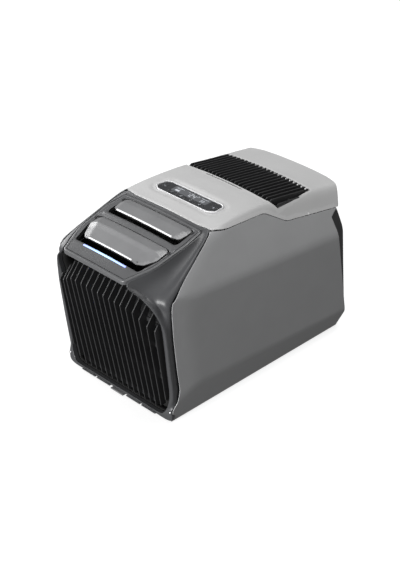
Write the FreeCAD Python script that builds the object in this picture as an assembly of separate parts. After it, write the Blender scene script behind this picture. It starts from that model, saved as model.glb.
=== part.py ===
import FreeCAD, Part
import math
import os

# Portable air conditioner for tents and vans, free-standing on four feet.
# Millimetres. +Z up, front towards -Y, origin on the floor under the middle of the body.

V = FreeCAD.Vector

# ---------------------------------------------------------------- driving dimensions
LENGTH = 518.0
WIDTH = 297.0
HEIGHT = 336.0
HALF_L = LENGTH / 2
HALF_W = WIDTH / 2
FLOOR_HALF_W = 132.0            # half width where the side shells end at the floor
SHELL_BOTTOM_Z = 2.0
SHOULDER_Z = 253.0
WALL = 2.6                      # moulded wall thickness
GAP = 0.6                       # gap between neighbouring mouldings

FACET_LEAN = 0.43               # inward lean of the facet above the shoulder
FACET_AT_ZERO = 250.5           # half width of that facet's plane if it ran down to the floor
FACET_TAPER = 0.037             # how much narrower the facet gets per mm towards the rear
FRONT_LOW_CREASE_Z = 68.0
REAR_LOW_CREASE_Z = 43.0
STRIP_SLOPE = 0.12              # inward slope of the strip along the shell's front edge

NOSE_Y = -211.2                 # front corner of the side shells
NOSE_Z = 252.3
SLANT_TOP_Y = -81.0             # where the slanted front edge of the shells meets the cover
SLANT_TOP_Z = 328.0
CROWN = 5.5                     # how much the roof drops from its middle to its edge
ROOF_EDGE_X = 112.0

PANEL_TOP_Y = -92.0             # fascia panel, the raised brow that carries the two louvers
PANEL_FRONT_Y = -257.0
LIP_Z = 280.0
PANEL_OUTLINE = [(96.0, -94.0), (100.5, -135.0), (96.5, -205.0), (75.3, PANEL_FRONT_Y)]

UPPER_LOUVER = {"back": -101.0, "front": -139.0, "half_back": 84.0, "half_front": 80.0}
LOWER_LOUVER = {"back": -161.0, "front": -217.0, "half_back": 88.0, "half_front": 74.0}
LOUVER_PIN_R = 1.6
RUNNING_FIT = 0.05

SLATS = 18
SLAT_PITCH = 14.4
SLAT_T = 2.0
SLAT_DEPTH = 20.0

DISPLAY = {"half_back": 72.0, "half_front": 74.0, "back": -10.0, "front": -47.0, "corner": 13.0}

TOP_GRILLE_FRONT = 66.0
TOP_GRILLE_REAR = 176.0
TOP_GRILLE_HALF = 106.0
TOP_FINS = 24

PORT_X = 66.0
PORT_Z = 142.0
PORT_R = 50.0
PORT_LENGTH = 22.0
REAR_SEAM_Z = 64.0              # rear panel above, rear skirt below

FEET_XY = [(108.0, -176.0), (-108.0, -176.0), (108.0, 206.0), (-108.0, 206.0)]
FOOT_R = 13.0
PAN_Z = 5.0


# ---------------------------------------------------------------- small helpers
def box(x0, x1, y0, y1, z0, z1):
    """Box from its limits."""
    return Part.makeBox(x1 - x0, y1 - y0, z1 - z0, V(x0, y0, z0))


def cyl(radius, start, axis, length):
    """Cylinder from a start point along an axis."""
    return Part.makeCylinder(radius, length, V(*start), V(*axis))


def tube(outer_r, inner_r, start, axis, length):
    """Round tube."""
    return cyl(outer_r, start, axis, length).cut(cyl(inner_r, start, axis, length))


def prism(points, direction):
    """Closed polygon of 3-D points pushed along a vector."""
    corners = [V(*p) for p in points]
    face = Part.Face(Part.makePolygon(corners + corners[:1]))
    return face.extrude(V(*direction))


def prism_x(yz, x0, x1):
    return prism([(x0, y, z) for y, z in yz], (x1 - x0, 0, 0))


def prism_y(xz, y0, y1):
    return prism([(x, y0, z) for x, z in xz], (0, y1 - y0, 0))


def prism_z(xy, z0, z1):
    return prism([(x, y, z0) for x, y in xy], (0, 0, z1 - z0))


def fuse(shapes):
    """One clean solid from overlapping shapes."""
    return shapes[0].multiFuse(shapes[1:]).removeSplitter()


def mirror(shape):
    """The same shape on the other side of the middle plane."""
    return shape.mirror(V(0, 0, 0), V(1, 0, 0))


def lerp(a, b, t):
    return a + (b - a) * t


def along(table, at):
    """Straight-line interpolation in a list of (key, value) pairs."""
    if at <= table[0][0]:
        return table[0][1]
    for (k0, v0), (k1, v1) in zip(table, table[1:]):
        if at <= k1:
            return lerp(v0, v1, (at - k0) / (k1 - k0))
    return table[-1][1]


def sheet(outer, inner, keep=lambda i, j: True, closed=False):
    """Moulded skin: a solid between two grids of points, without the cells that keep() refuses."""
    rows = len(outer)
    cols = len(outer[0])
    last_row = rows if closed else rows - 1
    cells = set((i, j) for i in range(last_row) for j in range(cols - 1) if keep(i, j))
    faces = []

    def quad(a, b, c, d):
        for corners in ((a, b, c), (a, c, d)):
            distinct = all((p - q).Length > 1e-4 for p, q in zip(corners, corners[1:] + corners[:1]))
            if distinct:
                faces.append(Part.Face(Part.makePolygon(list(corners) + [corners[0]])))

    for i, j in cells:
        k = (i + 1) % rows
        quad(outer[i][j], outer[k][j], outer[k][j + 1], outer[i][j + 1])
        quad(inner[i][j], inner[i][j + 1], inner[k][j + 1], inner[k][j])
        before = (i - 1) % rows if closed else i - 1
        after = k if closed else i + 1
        if (before, j) not in cells:
            quad(outer[i][j], outer[i][j + 1], inner[i][j + 1], inner[i][j])
        if (after, j) not in cells:
            quad(outer[k][j + 1], outer[k][j], inner[k][j], inner[k][j + 1])
        if (i, j - 1) not in cells:
            quad(outer[k][j], outer[i][j], inner[i][j], inner[k][j])
        if (i, j + 1) not in cells:
            quad(outer[i][j + 1], outer[k][j + 1], inner[k][j + 1], inner[i][j + 1])
    shell = Part.makeShell(faces)
    shell.sewShape()
    solid = Part.makeSolid(shell)
    if solid.Volume < 0:
        solid.reverse()
    return solid


# ---------------------------------------------------------------- the body's outer surface
def roof_middle(y):
    """Height of the roof on the middle plane."""
    return along([(-85.0, 332.0), (-46.0, HEIGHT - 0.5), (-8.0, HEIGHT), (48.0, 333.5), (262.0, 301.0)], y)


def half_width(y, z):
    """Half width of the closed body at a height, from its flat facets."""
    low_crease = lerp(FRONT_LOW_CREASE_Z, REAR_LOW_CREASE_Z, (y + 157.0) / 373.0)
    foot = FLOOR_HALF_W + (HALF_W - FLOOR_HALF_W) * z / low_crease
    facet = FACET_AT_ZERO - FACET_TAPER * y - FACET_LEAN * z
    strip_start = -154.0 - (z - 62.0) * 0.12
    strip = HALF_W + STRIP_SLOPE * (y - strip_start)
    return min(HALF_W, foot, facet, strip)


def roof(x, y):
    """Height of the cover at a point: the crowned roof, or the facet beside it."""
    crown = roof_middle(y) - CROWN * (x / ROOF_EDGE_X) ** 2
    facet = (FACET_AT_ZERO - FACET_TAPER * y - abs(x)) / FACET_LEAN
    return min(crown, facet)


def panel_height(y):
    """Height of the fascia panel's top face."""
    return along([(PANEL_FRONT_Y, 288.3), (-205.0, 302.5), (-135.0, 320.0), (-85.0, 329.5)], y)


FRONT_EDGE = [(0.0, -204.5), (31.0, -205.0), (42.0, -196.5), (70.0, -193.0), (116.0, -199.5),
              (178.0, -206.5), (NOSE_Z, NOSE_Y)]
REAR_EDGE = [(0.0, 238.0), (35.0, 246.0), (SHOULDER_Z, 206.0)]
SEAM = [(SLANT_TOP_Y, SLANT_TOP_Z), (-52.0, 321.0), (44.0, 315.0), (92.0, 285.0), (226.0, 264.0)]
SEAM_STATIONS = [SLANT_TOP_Y, -52.0, -10.0, 44.0, 66.0, 92.0, 135.0, 176.0, 205.0, 226.0]


# ---------------------------------------------------------------- casing
def side_shell():
    """Right-hand side shell: foot facet, flat side, shoulder facet and front strip in one skin."""
    levels = [SHELL_BOTTOM_Z, 31.0, 42.0, 70.0, 116.0, 178.0, 230.0]
    seam_span = SEAM_STATIONS[-1] - SEAM_STATIONS[0]
    spots = [(y - SEAM_STATIONS[0]) / seam_span for y in SEAM_STATIONS]
    outer = []
    inner = []
    rows = []
    for z in levels:
        rows.append([(lerp(along(FRONT_EDGE, z), along(REAR_EDGE, z), t), z) for t in spots])
    shoulder = [(lerp(NOSE_Y, 206.0, t), lerp(NOSE_Z, SHOULDER_Z, t)) for t in spots]
    seam = [(y, along(SEAM, y) - GAP) for y in SEAM_STATIONS]
    rows.append(shoulder)
    for k in (0.33, 0.66, 1.0):
        rows.append([(lerp(a[0], b[0], k), lerp(a[1], b[1], k)) for a, b in zip(shoulder, seam)])
    for row in rows:
        xs = [half_width(y, z) for y, z in row]
        outer.append([V(x, y, z) for x, (y, z) in zip(xs, row)])
        inner.append([V(x - WALL, y, z) for x, (y, z) in zip(xs, row)])
    return sheet(outer, inner)


def cover_row(y):
    """Points across the cover at one station."""
    edge = half_width(y, along(SEAM, y))
    xs = [0.0, 0.35, 0.7, TOP_GRILLE_HALF / ROOF_EDGE_X]
    half = [x * ROOF_EDGE_X for x in xs]
    half.append(half_width(y, roof(ROOF_EDGE_X, y)))
    half.append(edge)
    return [-x for x in reversed(half[1:])] + half


def cover_inside(row, back):
    """Inner face of one station: the side edges move in, the roof moves down."""
    inside = []
    for k, p in enumerate(row):
        at_edge = k in (0, len(row) - 1)
        near_edge = k in (1, len(row) - 2)
        in_x = math.copysign(WALL, p.x) if at_edge or near_edge else 0.0
        inside.append(p - V(in_x, back, 0.0 if at_edge and not back else WALL))
    return inside


def cover_rear_y(x):
    """The cover's rear edge is nearly straight in plan and rounds off at its corners."""
    return HALF_L - 1.0 - 6.0 * (abs(x) / 98.0) ** 6


def top_cover():
    """Roof moulding with its grille opening, display recess and rear apron."""
    outer = []
    inner = []
    for y in SEAM_STATIONS:
        row = [V(x, y, min(roof(x, y), HEIGHT)) for x in cover_row(y)]
        row[0].z = row[-1].z = along(SEAM, y) + GAP
        outer.append(row)
        inner.append(cover_inside(row, 0.0))
    last = cover_row(SEAM_STATIONS[-1])
    for drop in (0.0, 0.5, 1.0):
        row = []
        for x in last:
            y = cover_rear_y(x)
            top = roof(x, y) - 2.0
            row.append(V(x, y, lerp(top, 265.0, drop)))
        outer.append(row)
        inner.append(cover_inside(row, WALL))
    middle = len(outer[0]) // 2
    first_fin_row = SEAM_STATIONS.index(TOP_GRILLE_FRONT)
    last_fin_row = SEAM_STATIONS.index(TOP_GRILLE_REAR)

    def keep(i, j):
        in_grille = first_fin_row <= i < last_fin_row
        across = middle - 3 <= j <= middle + 2
        return not (in_grille and across)

    recess = prism_z(display_outline(1.2), 300, 345)
    return sheet(outer, inner, keep).cut(recess)


BEZEL_OUTER = [(80.0, -85.0, 328.0), (107.5, -85.5, 322.0), (118.0, -125.0, 299.0), (132.0, -181.0, 264.0),
               (140.2, NOSE_Y, NOSE_Z), (138.4, -206.0, 178.0), (137.0, -199.0, 116.0),
               (135.6, -193.0, 70.0), (133.2, -196.5, 42.0), (131.2, -205.0, 31.0), (127.0, -204.5, 3.5)]
BEZEL_INNER = [(80.0, -89.5, 324.5), (98.5, -91.0, 322.5), (103.0, -135.0, 314.0), (99.0, -205.0, 296.5),
               (79.5, PANEL_FRONT_Y + 1.0, 281.5), (113.0, -223.0, 236.0), (127.5, -215.0, 206.0),
               (129.5, -206.0, 116.0), (129.0, -203.0, 60.0), (126.5, -206.0, 36.0), (112.0, -208.5, 12.5)]


def front_bezel():
    """Right-hand half of the dark surround: the scooped cheek, the grille's rim and half the sill."""
    outer = []
    for a, b in zip(BEZEL_OUTER, BEZEL_INNER):
        a = V(*a)
        b = V(*b)
        middle = (a + b) * 0.5 - V(2.0, -3.0, 2.0)
        outer.append([a - V(GAP, 0, 0), middle, b])
    inner = [[p + V(-1.2, WALL, -1.6) for p in row] for row in outer]
    flip = V(-1, 1, 1)

    def other(rows):
        return [[V(-p.x, p.y, p.z) for p in row] for row in reversed(rows)]

    ring = sheet(outer + other(outer), inner + other(inner), closed=True)
    half = ring.common(box(GAP / 4, HALF_W, -HALF_L - 5.0, 0.0, 0.0, HEIGHT))
    return half.cut(box(-18.6, 18.6, -225, -190, 0, 10.8))


def panel_point(x, y):
    return V(x, y, panel_height(y) - 3.0 * (x / 100.0) ** 2)


def fascia_panel():
    """Raised brow panel with the two louver openings, its front lip folded down."""
    stations = [PANEL_TOP_Y, UPPER_LOUVER["back"] + 2.0, UPPER_LOUVER["front"] - 6.0, -154.0,
                LOWER_LOUVER["back"] + 2.0, LOWER_LOUVER["front"] - 6.0, -240.0, PANEL_FRONT_Y]
    half_table = sorted((y, x) for x, y in PANEL_OUTLINE)
    outer = []
    inner = []
    for y in stations:
        half = along(half_table, y)
        xs = [-half, 5.0 - half, 0.0, half - 5.0, half]
        row = [panel_point(x, y) for x in xs]
        outer.append(row)
        inner.append([p - V(0, 0, WALL) for p in row])
    outer.append([V(p.x, p.y - 2.0, LIP_Z) for p in outer[-1]])
    inner.append([V(p.x, p.y - 2.0 + WALL, LIP_Z) for p in outer[-2]])

    def keep(i, j):
        return not (i in (1, 4) and j in (1, 2))

    body = sheet(outer, inner, keep)
    light_slot = box(-54.0, 54.0, -231.5, -227.5, 285.0, 305.0)
    return body.cut(light_slot)


def light_bar():
    """Diffuser strip below the lower louver."""
    y0 = -231.0
    y1 = -228.0
    z = panel_height(y0)
    lens = box(-53.5, 53.5, y0, y1, z - 5.0, z + 0.2)
    return fuse([lens, box(-56.0, 56.0, y0 - 2, y1 + 2, z - 8.0, z - 4.9)])


def louver(place):
    """Air-direction lid: a creased pillow with a lip along its front."""
    yb = place["back"]
    yf = place["front"]
    chord = yb - yf
    zb = panel_height(yb)
    zf = panel_height(yf) + 4.5
    profile = [(yb, zb - 4.5), (yb, zb - 0.5), (yb - 0.28 * chord, zb + 2.2),
               (yb - 0.45 * chord, lerp(zb, zf, 0.4) + 3.2),
               (yf + 3.0, zf + 1.0), (yf, zf - 0.5), (yf + 0.5, zf - 3.5), (yf + 4.0, zf - 4.0),
               (yb - 0.5 * chord, lerp(zb, zf, 0.5) - 1.5), (yb - 4.0, zb - 6.5)]
    hb = place["half_back"]
    hf = place["half_front"]
    outline = [(-hb + 8, yb + 1), (hb - 8, yb + 1), (hb, yb - 7), (hb, yb - 0.45 * chord), (hf, yf + 9),
               (hf - 12, yf - 1),
               (12 - hf, yf - 1), (-hf, yf + 9), (-hb, yb - 0.45 * chord), (-hb, yb - 7)]
    return prism_x(profile, -100, 100).common(prism_z(outline, 260, 345))


def louver_axis(place):
    y = place["back"] - 4.5
    return y, panel_height(y) - 4.2


def louver_pins(place):
    """Two stub pins on the lid's turning axis."""
    y, z = louver_axis(place)
    reach = place["half_back"] - 1.0
    return Part.makeCompound([cyl(LOUVER_PIN_R, (s * reach, y, z), (s, 0, 0), 5.0) for s in (1, -1)])


def louver_brackets(place):
    """Bearing blocks under the panel that carry the stub pins."""
    y, z = louver_axis(place)
    blocks = []
    for s in (1, -1):
        x0 = s * (place["half_back"] + 1.0)
        x1 = x0 + s * 3.2
        block = box(min(x0, x1), max(x0, x1), y - 4.0, y + 4.0, z - 9.0, z + 2.6)
        blocks.append(block.cut(cyl(LOUVER_PIN_R + RUNNING_FIT, (x0 - s, y, z), (s, 0, 0), 9.0)))
    return Part.makeCompound(blocks)


def air_chute():
    """Open box that leads the cooled air from the blower up to the louvers."""
    outside = [(-96.0, 268.0), (-96.0, 302.0), (-140.0, 300.0), (-222.0, 281.0), (-216.0, 262.0),
               (-150.0, 240.0)]
    inside = [(-98.5, 266.0), (-98.5, 306.0), (-140.0, 304.0), (-219.0, 284.0), (-213.5, 264.0),
              (-149.0, 242.5)]
    body = prism_x(outside, -84, 84).cut(prism_x(inside, -81.5, 81.5))
    mouth = box(-60, 60, -146, -104, 235, 280)
    return body.cut(mouth)


# ---------------------------------------------------------------- front grille
def kink_point(x):
    """Front-most point of a slat: the grille bows back and its shoulder drops to the sides."""
    y = along([(65.0, -243.5), (94.0, -240.0), (123.0, -231.0)], abs(x))
    z = along([(65.0, 223.5), (80.0, 221.0), (94.0, 213.0), (109.0, 203.0), (123.0, 198.0)], abs(x))
    return y, z


def slat_profile(x):
    ky, kz = kink_point(x)
    foot_y = along([(90.0, -203.5), (123.0, -208.0)], abs(x))
    foot_z = along([(92.0, 15.0), (109.0, 26.0), (123.0, 46.0)], abs(x))
    rise = along([(80.0, 31.0), (109.0, 23.0), (123.0, 8.0)], abs(x))
    depth = along([(109.0, SLAT_DEPTH), (123.0, SLAT_DEPTH - 4.0)], abs(x))
    top_y = ky + 0.8 * rise
    top_z = kz + rise
    return [(foot_y, foot_z), (ky, kz), (top_y, top_z), (top_y + depth - 8.0, top_z), (ky + depth, kz),
            (foot_y + 12.0, foot_z)]


def front_grille():
    """Eighteen upright slats tied by cross bars."""
    parts = []
    for i in range(SLATS):
        x = (i - (SLATS - 1) / 2) * SLAT_PITCH
        parts.append(prism_x(slat_profile(x), x - SLAT_T / 2, x + SLAT_T / 2))
    ties = ((22.0, -196.0, 93.0), (90.0, -205.0, 121.5), (160.0, -216.0, 121.5), (208.0, -221.0, 108.5))
    for z, y, reach in ties:
        parts.append(box(-reach, reach, y - 1.5, y + 1.5, z - 4.0, z + 4.0))
    return fuse(parts)


def front_filter():
    """Washable mesh filter in a thin frame, clipped behind the slats."""
    frame = box(-111, 111, -192.5, -188.5, 30, 216).cut(box(-105, 105, -200, -180, 36, 210))
    bars = [box(-106, 106, -191.8, -189.2, z - 1.5, z + 1.5) for z in (78, 128, 178)]
    posts = [box(x - 1.5, x + 1.5, -191.8, -189.2, 34, 212) for x in (-56, 0, 56)]
    clips = [box(x - 4, x + 4, -203.2, -191.0, 86, 94) for x in (-101, 101)]
    return fuse([frame] + bars + posts + clips)


def release_tab():
    """Spring tab under the sill that frees the grille."""
    return fuse([box(-17, 17, -214.0, -203.0, 3.2, 5.6), box(-12, 12, -204.0, -200.0, 3.2, 8.4)])


# ---------------------------------------------------------------- controls
def display_outline(grow):
    hb = DISPLAY["half_back"] + grow
    hf = DISPLAY["half_front"] + grow
    y0 = DISPLAY["front"] - grow
    y1 = DISPLAY["back"] + grow
    c = DISPLAY["corner"]
    return [(c - hf, y0), (hf - c, y0), (hf, y0 + 0.5 * c), (hb, y1 - 0.4 * c), (hb - 0.6 * c, y1),
            (0.6 * c - hb, y1), (-hb, y1 - 0.4 * c), (-hf, y0 + 0.5 * c)]


DISPLAY_Z = HEIGHT - 3.4


def key_places():
    """Name, middle x, half width, middle y and half depth of each key."""
    row = ("key_mode", "key_fan", "key_cooler", "key_warmer")
    places = [(name, -34.5 + 23.0 * i, 10.0, -38.8, 3.0) for i, name in enumerate(row)]
    places.append(("key_power", -60.5, 5.0, -29.0, 5.0))
    places.append(("key_lamp", 60.5, 5.0, -29.0, 5.0))
    return places


def display_glass():
    """Dark window plate with the openings for the keys."""
    plate = prism_z(display_outline(-1.5), DISPLAY_Z - 2.0, DISPLAY_Z)
    for _, x, hx, y, hy in key_places():
        plate = plate.cut(box(x - hx - 0.4, x + hx + 0.4, y - hy - 0.4, y + hy + 0.4, 320, 345))
    return plate


def display_rim():
    """Bright rim around the window, with a shelf that the plate rests on."""
    rim = prism_z(display_outline(0.8), DISPLAY_Z - 4.0, DISPLAY_Z + 1.6)
    rim = rim.cut(prism_z(display_outline(-1.0), DISPLAY_Z - 2.1, DISPLAY_Z + 4.0))
    return rim.cut(prism_z(display_outline(-5.0), DISPLAY_Z - 6.0, DISPLAY_Z))


def key(x, hx, y, hy):
    """Key cap with its stem."""
    cap = box(x - hx, x + hx, y - hy, y + hy, DISPLAY_Z - 1.6, DISPLAY_Z + 0.5)
    return cap.fuse(cyl(1.5, (x, y, DISPLAY_Z - 5.4), (0, 0, 1), 4.0))


def control_board():
    """Board under the window: segment display and key switches."""
    board = box(-66, 66, -46, -12, DISPLAY_Z - 11.0, DISPLAY_Z - 9.4)
    lcd = box(-40, 40, -35, -15, DISPLAY_Z - 9.5, DISPLAY_Z - 4.2)
    switches = [box(x - 2.5, x + 2.5, y - 2.5, y + 2.5, DISPLAY_Z - 9.5, DISPLAY_Z - 7.4)
                for _, x, _, y, _ in key_places()]
    return fuse([board, lcd] + switches)


# ---------------------------------------------------------------- top grille
def fin_top(x, y):
    """Top line of the intake fins, a little above the cover around it."""
    return min(roof_middle(y) - CROWN * (x / ROOF_EDGE_X) ** 2, HEIGHT - 2.0)


def top_grille():
    """Lift-off intake grille: fins from front to rear on three cross bars."""
    parts = []
    pitch = 2 * (TOP_GRILLE_HALF - 4.0) / (TOP_FINS - 1)
    front = TOP_GRILLE_FRONT + 1.0
    rear = TOP_GRILLE_REAR - 1.0
    for i in range(TOP_FINS):
        x = 4.0 - TOP_GRILLE_HALF + i * pitch
        line = [(front, fin_top(x, front) - 6.0), (front + 9.0, fin_top(x, front + 9.0) - 0.5),
                (rear, fin_top(x, rear) - 0.5)]
        low = [(rear, fin_top(x, rear) - 12.0), (front, fin_top(x, front) - 13.0)]
        parts.append(prism_x(line + low, x - 0.9, x + 0.9))
    for y in (front + 3.0, 120.0, rear - 3.0):
        z = roof_middle(y) - CROWN - 6.0
        parts.append(box(-TOP_GRILLE_HALF + 1, TOP_GRILLE_HALF - 1, y - 2.5, y + 2.5, z - 3.0, z + 1.0))
    return fuse(parts)


def top_filter():
    """Filter frame under the top fins."""
    z0 = roof_middle(TOP_GRILLE_REAR) - 26.0
    frame = box(-100, 100, 72, 170, z0, z0 + 3).cut(box(-95, 95, 77, 165, z0 - 1, z0 + 4))
    bars = [box(-96, 96, y - 1.2, y + 1.2, z0 + 0.4, z0 + 2.6) for y in (100, 121, 142)]
    posts = [box(x - 3, x + 3, 118.2, 121.8, z0 + 2.0, roof_middle(120) - CROWN - 9.2) for x in (-88.7, 88.7)]
    return fuse([frame] + bars + posts)


# ---------------------------------------------------------------- rear
def rear_y(z):
    """Outer face of the rear panel: it leans out towards the floor and turns in below."""
    return along([(8.0, 250.0), (44.0, 257.5), (240.0, 240.0), (262.0, 238.0)], z)


def rear_skin(levels):
    """Bowed rear moulding between two heights, with every opening that falls inside it."""
    outer = []
    inner = []
    for z in levels:
        shell_y = along(REAR_EDGE, z) + 0.8
        edge = min(half_width(shell_y, z), HALF_W) - WALL - 1.2
        half = [(0.0, rear_y(z)), (60.0, rear_y(z)), (edge - 16.0, rear_y(z) - 1.5),
                (edge - 4.0, rear_y(z) - 8.0), (edge, shell_y)]
        row = [V(-x, y, z) for x, y in reversed(half[1:])] + [V(x, y, z) for x, y in half]
        outer.append(row)
        inner.append([p - V(0.025 * p.x if abs(p.x) > 100 else 0, 3.0, 0) for p in row])
    body = sheet(outer, inner)
    for s in (1, -1):
        body = body.cut(cyl(PORT_R + 3.4, (s * PORT_X, 225, PORT_Z), (0, 1, 0), 45))
    _, py, pz = FLAP_PIN
    body = body.cut(box(-111, -49, 225, 270, 24, 66)).cut(box(-105, -55, 225, 270, 60, 73))
    body = body.cut(cyl(1.2 + RUNNING_FIT, (-109.5, py, pz), (1, 0, 0), 59.0))
    for x, z in REAR_SCREWS:
        body = body.cut(cyl(1.9, (x, 225, z), (0, 1, 0), 45))
    return body.cut(cyl(9.0, (80, 225, 40), (0, 1, 0), 45))


def rear_panel():
    """Upper rear moulding with the two duct openings."""
    return rear_skin((REAR_SEAM_Z + GAP, 110.0, 180.0, 240.0, 261.0))


def rear_skirt():
    """Lower rear moulding with the connector opening and the drain hole."""
    return rear_skin((8.0, 44.0, REAR_SEAM_Z))


def duct_ring(side):
    """Collar that a duct hose adapter plugs into."""
    start = (side * PORT_X, HALF_L - PORT_LENGTH, PORT_Z)
    ring = tube(PORT_R + 2.8, PORT_R, start, (0, 1, 0), PORT_LENGTH)
    flange = tube(PORT_R + 6.5, PORT_R, (side * PORT_X, HALF_L - PORT_LENGTH, PORT_Z), (0, 1, 0), 2.4)
    return ring.fuse(flange)


def port_guard(side):
    """Ribs behind a duct collar that keep fingers out."""
    y0 = HALF_L - PORT_LENGTH - 4.5
    ring = tube(PORT_R + 6.0, PORT_R - 1.5, (side * PORT_X, y0, PORT_Z), (0, 1, 0), 3.0)
    ribs = []
    for i in range(-5, 6):
        x = i * 8.4
        reach = math.sqrt(max(PORT_R ** 2 - x ** 2, 1.0))
        middle = side * PORT_X + x
        ribs.append(box(middle - 0.9, middle + 0.9, y0, y0 + 3, PORT_Z - reach, PORT_Z + reach))
    ribs.append(box(side * PORT_X - PORT_R, side * PORT_X + PORT_R, y0, y0 + 3, PORT_Z - 1.2, PORT_Z + 1.2))
    return fuse([ring] + ribs)


REAR_SCREWS = [(118, 52), (-122, 74), (118, 226), (-118, 226), (0, 226), (0, 52), (118, 78), (-122, 34)]
FLAP_PIN = (0.0, 253.6, 68.6)
FLAP_X0 = -110.4
FLAP_X1 = -49.6


def connector_box():
    """Recessed tray behind the flap that holds the two power inlets."""
    tray = box(-110.5, -49.5, 222, 249.4, 24.6, 64.4).cut(box(-108, -52, 224.5, 255, 27, 62))
    return tray.cut(box(-101, -73, 215, 230, 33, 57)).cut(cyl(10.2, (-60.5, 215, 45), (0, 1, 0), 15))


def ac_inlet():
    """Mains inlet body with its recess."""
    return box(-100.8, -73.2, 216, 232, 33.2, 56.8).cut(box(-97, -77, 222, 240, 37, 53))


def dc_socket():
    """Round low-voltage socket, closed at its back."""
    start = (-60.5, 216, 45)
    return tube(10.0, 6.0, start, (0, 1, 0), 14.0).fuse(cyl(7, start, (0, 1, 0), 3))


def flap():
    """Flap over the power inlets, hinged along its top edge."""
    _, py, pz = FLAP_PIN
    levels = (25.5, 44.0, 65.0)
    face = [(rear_y(z) - 0.2, z) for z in levels]
    back = [(rear_y(z) - 2.8, z) for z in reversed(levels)]
    leaf = prism_x(face + back, FLAP_X0, FLAP_X1)
    knuckles = []
    for x in (-104.0, -66.0):
        arm = box(x, x + 10, py - 1.8, py + 1.4, 62.0, pz)
        knuckles.append(arm.fuse(cyl(2.2, (x, py, pz), (1, 0, 0), 10)))
    return fuse([leaf] + knuckles).cut(cyl(1.2 + RUNNING_FIT, (-120, py, pz), (1, 0, 0), 80))


def flap_pin():
    _, py, pz = FLAP_PIN
    return cyl(1.2, (-109.0, py, pz), (1, 0, 0), 58.0)


def drain_spout():
    """Threaded drain outlet in the pan's rear wall."""
    return tube(8.6, 6.0, (80, 226, 40), (0, 1, 0), 25.0)


def drain_plug():
    """Rubber plug with a finger tab."""
    stem = cyl(5.7, (80, 236, 40), (0, 1, 0), 17.0)
    cap = cyl(8.4, (80, 251.6, 40), (0, 1, 0), 2.4)
    tab = box(78.5, 81.5, 253.5, 258.0, 34, 46)
    return fuse([stem, cap, tab])


# ---------------------------------------------------------------- chassis and insides
def base_pan():
    """Tray that everything stands on, with a raised rim."""
    tray = box(-127, 127, -187, 232, PAN_Z, PAN_Z + 16).cut(box(-124, 124, -184, 229, PAN_Z + 3, 60))
    for x, y in FEET_XY:
        tray = tray.cut(cyl(4.2, (x, y, 0), (0, 0, 1), 20))
    return tray


def rubber_feet():
    """Four screwed-on feet."""
    feet = []
    for x, y in FEET_XY:
        foot = Part.makeCone(FOOT_R - 1.5, FOOT_R, PAN_Z - 0.1, V(x, y, 0))
        feet.append(foot.fuse(cyl(4.0, (x, y, 1), (0, 0, 1), PAN_Z + 4)))
    return Part.makeCompound(feet)


def finned_coil(x0, x1, y0, y1, z0, z1, along_z, pitch):
    """Heat exchanger block: spaced fins joined by two end plates."""
    parts = [box(x0, x0 + 2, y0, y1, z0, z1), box(x1 - 2, x1, y0, y1, z0, z1)]
    count = int((z1 - z0) / pitch) if along_z else int((y1 - y0) / pitch)
    for i in range(count):
        if along_z:
            z = z0 + (i + 0.5) * pitch
            parts.append(box(x0 + 1, x1 - 1, y0, y1, z - 1.0, z + 1.0))
        else:
            y = y0 + (i + 0.5) * pitch
            parts.append(box(x0 + 1, x1 - 1, y - 1.0, y + 1.0, z0, z1))
    return fuse(parts)


BLOWER = (0.0, -118.0, 128.0)
CONDENSER_FAN = (0.0, 132.0, 205.0)


def blower_wheel():
    """Centrifugal wheel: hub disc, ring and forward blades, turning about Y."""
    x, y, z = BLOWER
    parts = [cyl(60, (x, y + 18, z), (0, 1, 0), 2.5), cyl(9, (x, y - 8, z), (0, 1, 0), 28),
             tube(60, 50, (x, y - 20, z), (0, 1, 0), 2.5)]
    blade = box(x + 50.5, x + 59.5, y - 19, y + 19, z - 0.8, z + 0.8)
    for i in range(24):
        turned = blade.copy()
        turned.rotate(V(x, y, z), V(0, 1, 0), i * 15)
        parts.append(turned)
    return fuse(parts).cut(cyl(3.0 + RUNNING_FIT, (x, y - 30, z), (0, 1, 0), 70))


def blower_housing():
    """Scroll box around the wheel with its outlet on top."""
    x, y, z = BLOWER
    shell = cyl(72, (x, y - 26, z), (0, 1, 0), 56).fuse(box(-60, 60, y - 26, y + 30, z, 238))
    hollow = cyl(69, (x, y - 23.5, z), (0, 1, 0), 51).fuse(box(-57, 57, y - 23.5, y + 27.5, z, 245))
    shell = shell.cut(hollow)
    return shell.cut(cyl(46, (x, y - 40, z), (0, 1, 0), 20)).cut(cyl(24.5, (x, y + 20, z), (0, 1, 0), 20))


def motor(start, axis, radius, length, shaft):
    """Motor can with its shaft."""
    ax = V(*axis)
    can = cyl(radius, start, axis, length)
    tip = V(*start) - ax * shaft
    return can.fuse(cyl(3.0, (tip.x, tip.y, tip.z), axis, shaft + 1))


def condenser_fan():
    """Axial fan with seven twisted blades, turning about Z."""
    x, y, z = CONDENSER_FAN
    parts = [cyl(20, (x, y, z - 10), (0, 0, 1), 20)]
    blade = box(x + 18, x + 66, y - 11, y + 11, z - 1.1, z + 1.1)
    blade.rotate(V(x, y, z), V(1, 0, 0), 28)
    for i in range(7):
        turned = blade.copy()
        turned.rotate(V(x, y, z), V(0, 0, 1), i * 360.0 / 7)
        parts.append(turned)
    return fuse(parts).cut(cyl(3.0 + RUNNING_FIT, (x, y, z - 30), (0, 0, 1), 60))


def condenser_shroud():
    """Plate and ring that the axial fan turns in."""
    x, y, z = CONDENSER_FAN
    plate = box(-108, 108, 58, 212, z + 9, z + 11.5).cut(cyl(69, (x, y, z), (0, 0, 1), 20))
    return plate.fuse(tube(71.5, 69, (x, y, z - 9), (0, 0, 1), 20))


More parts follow.
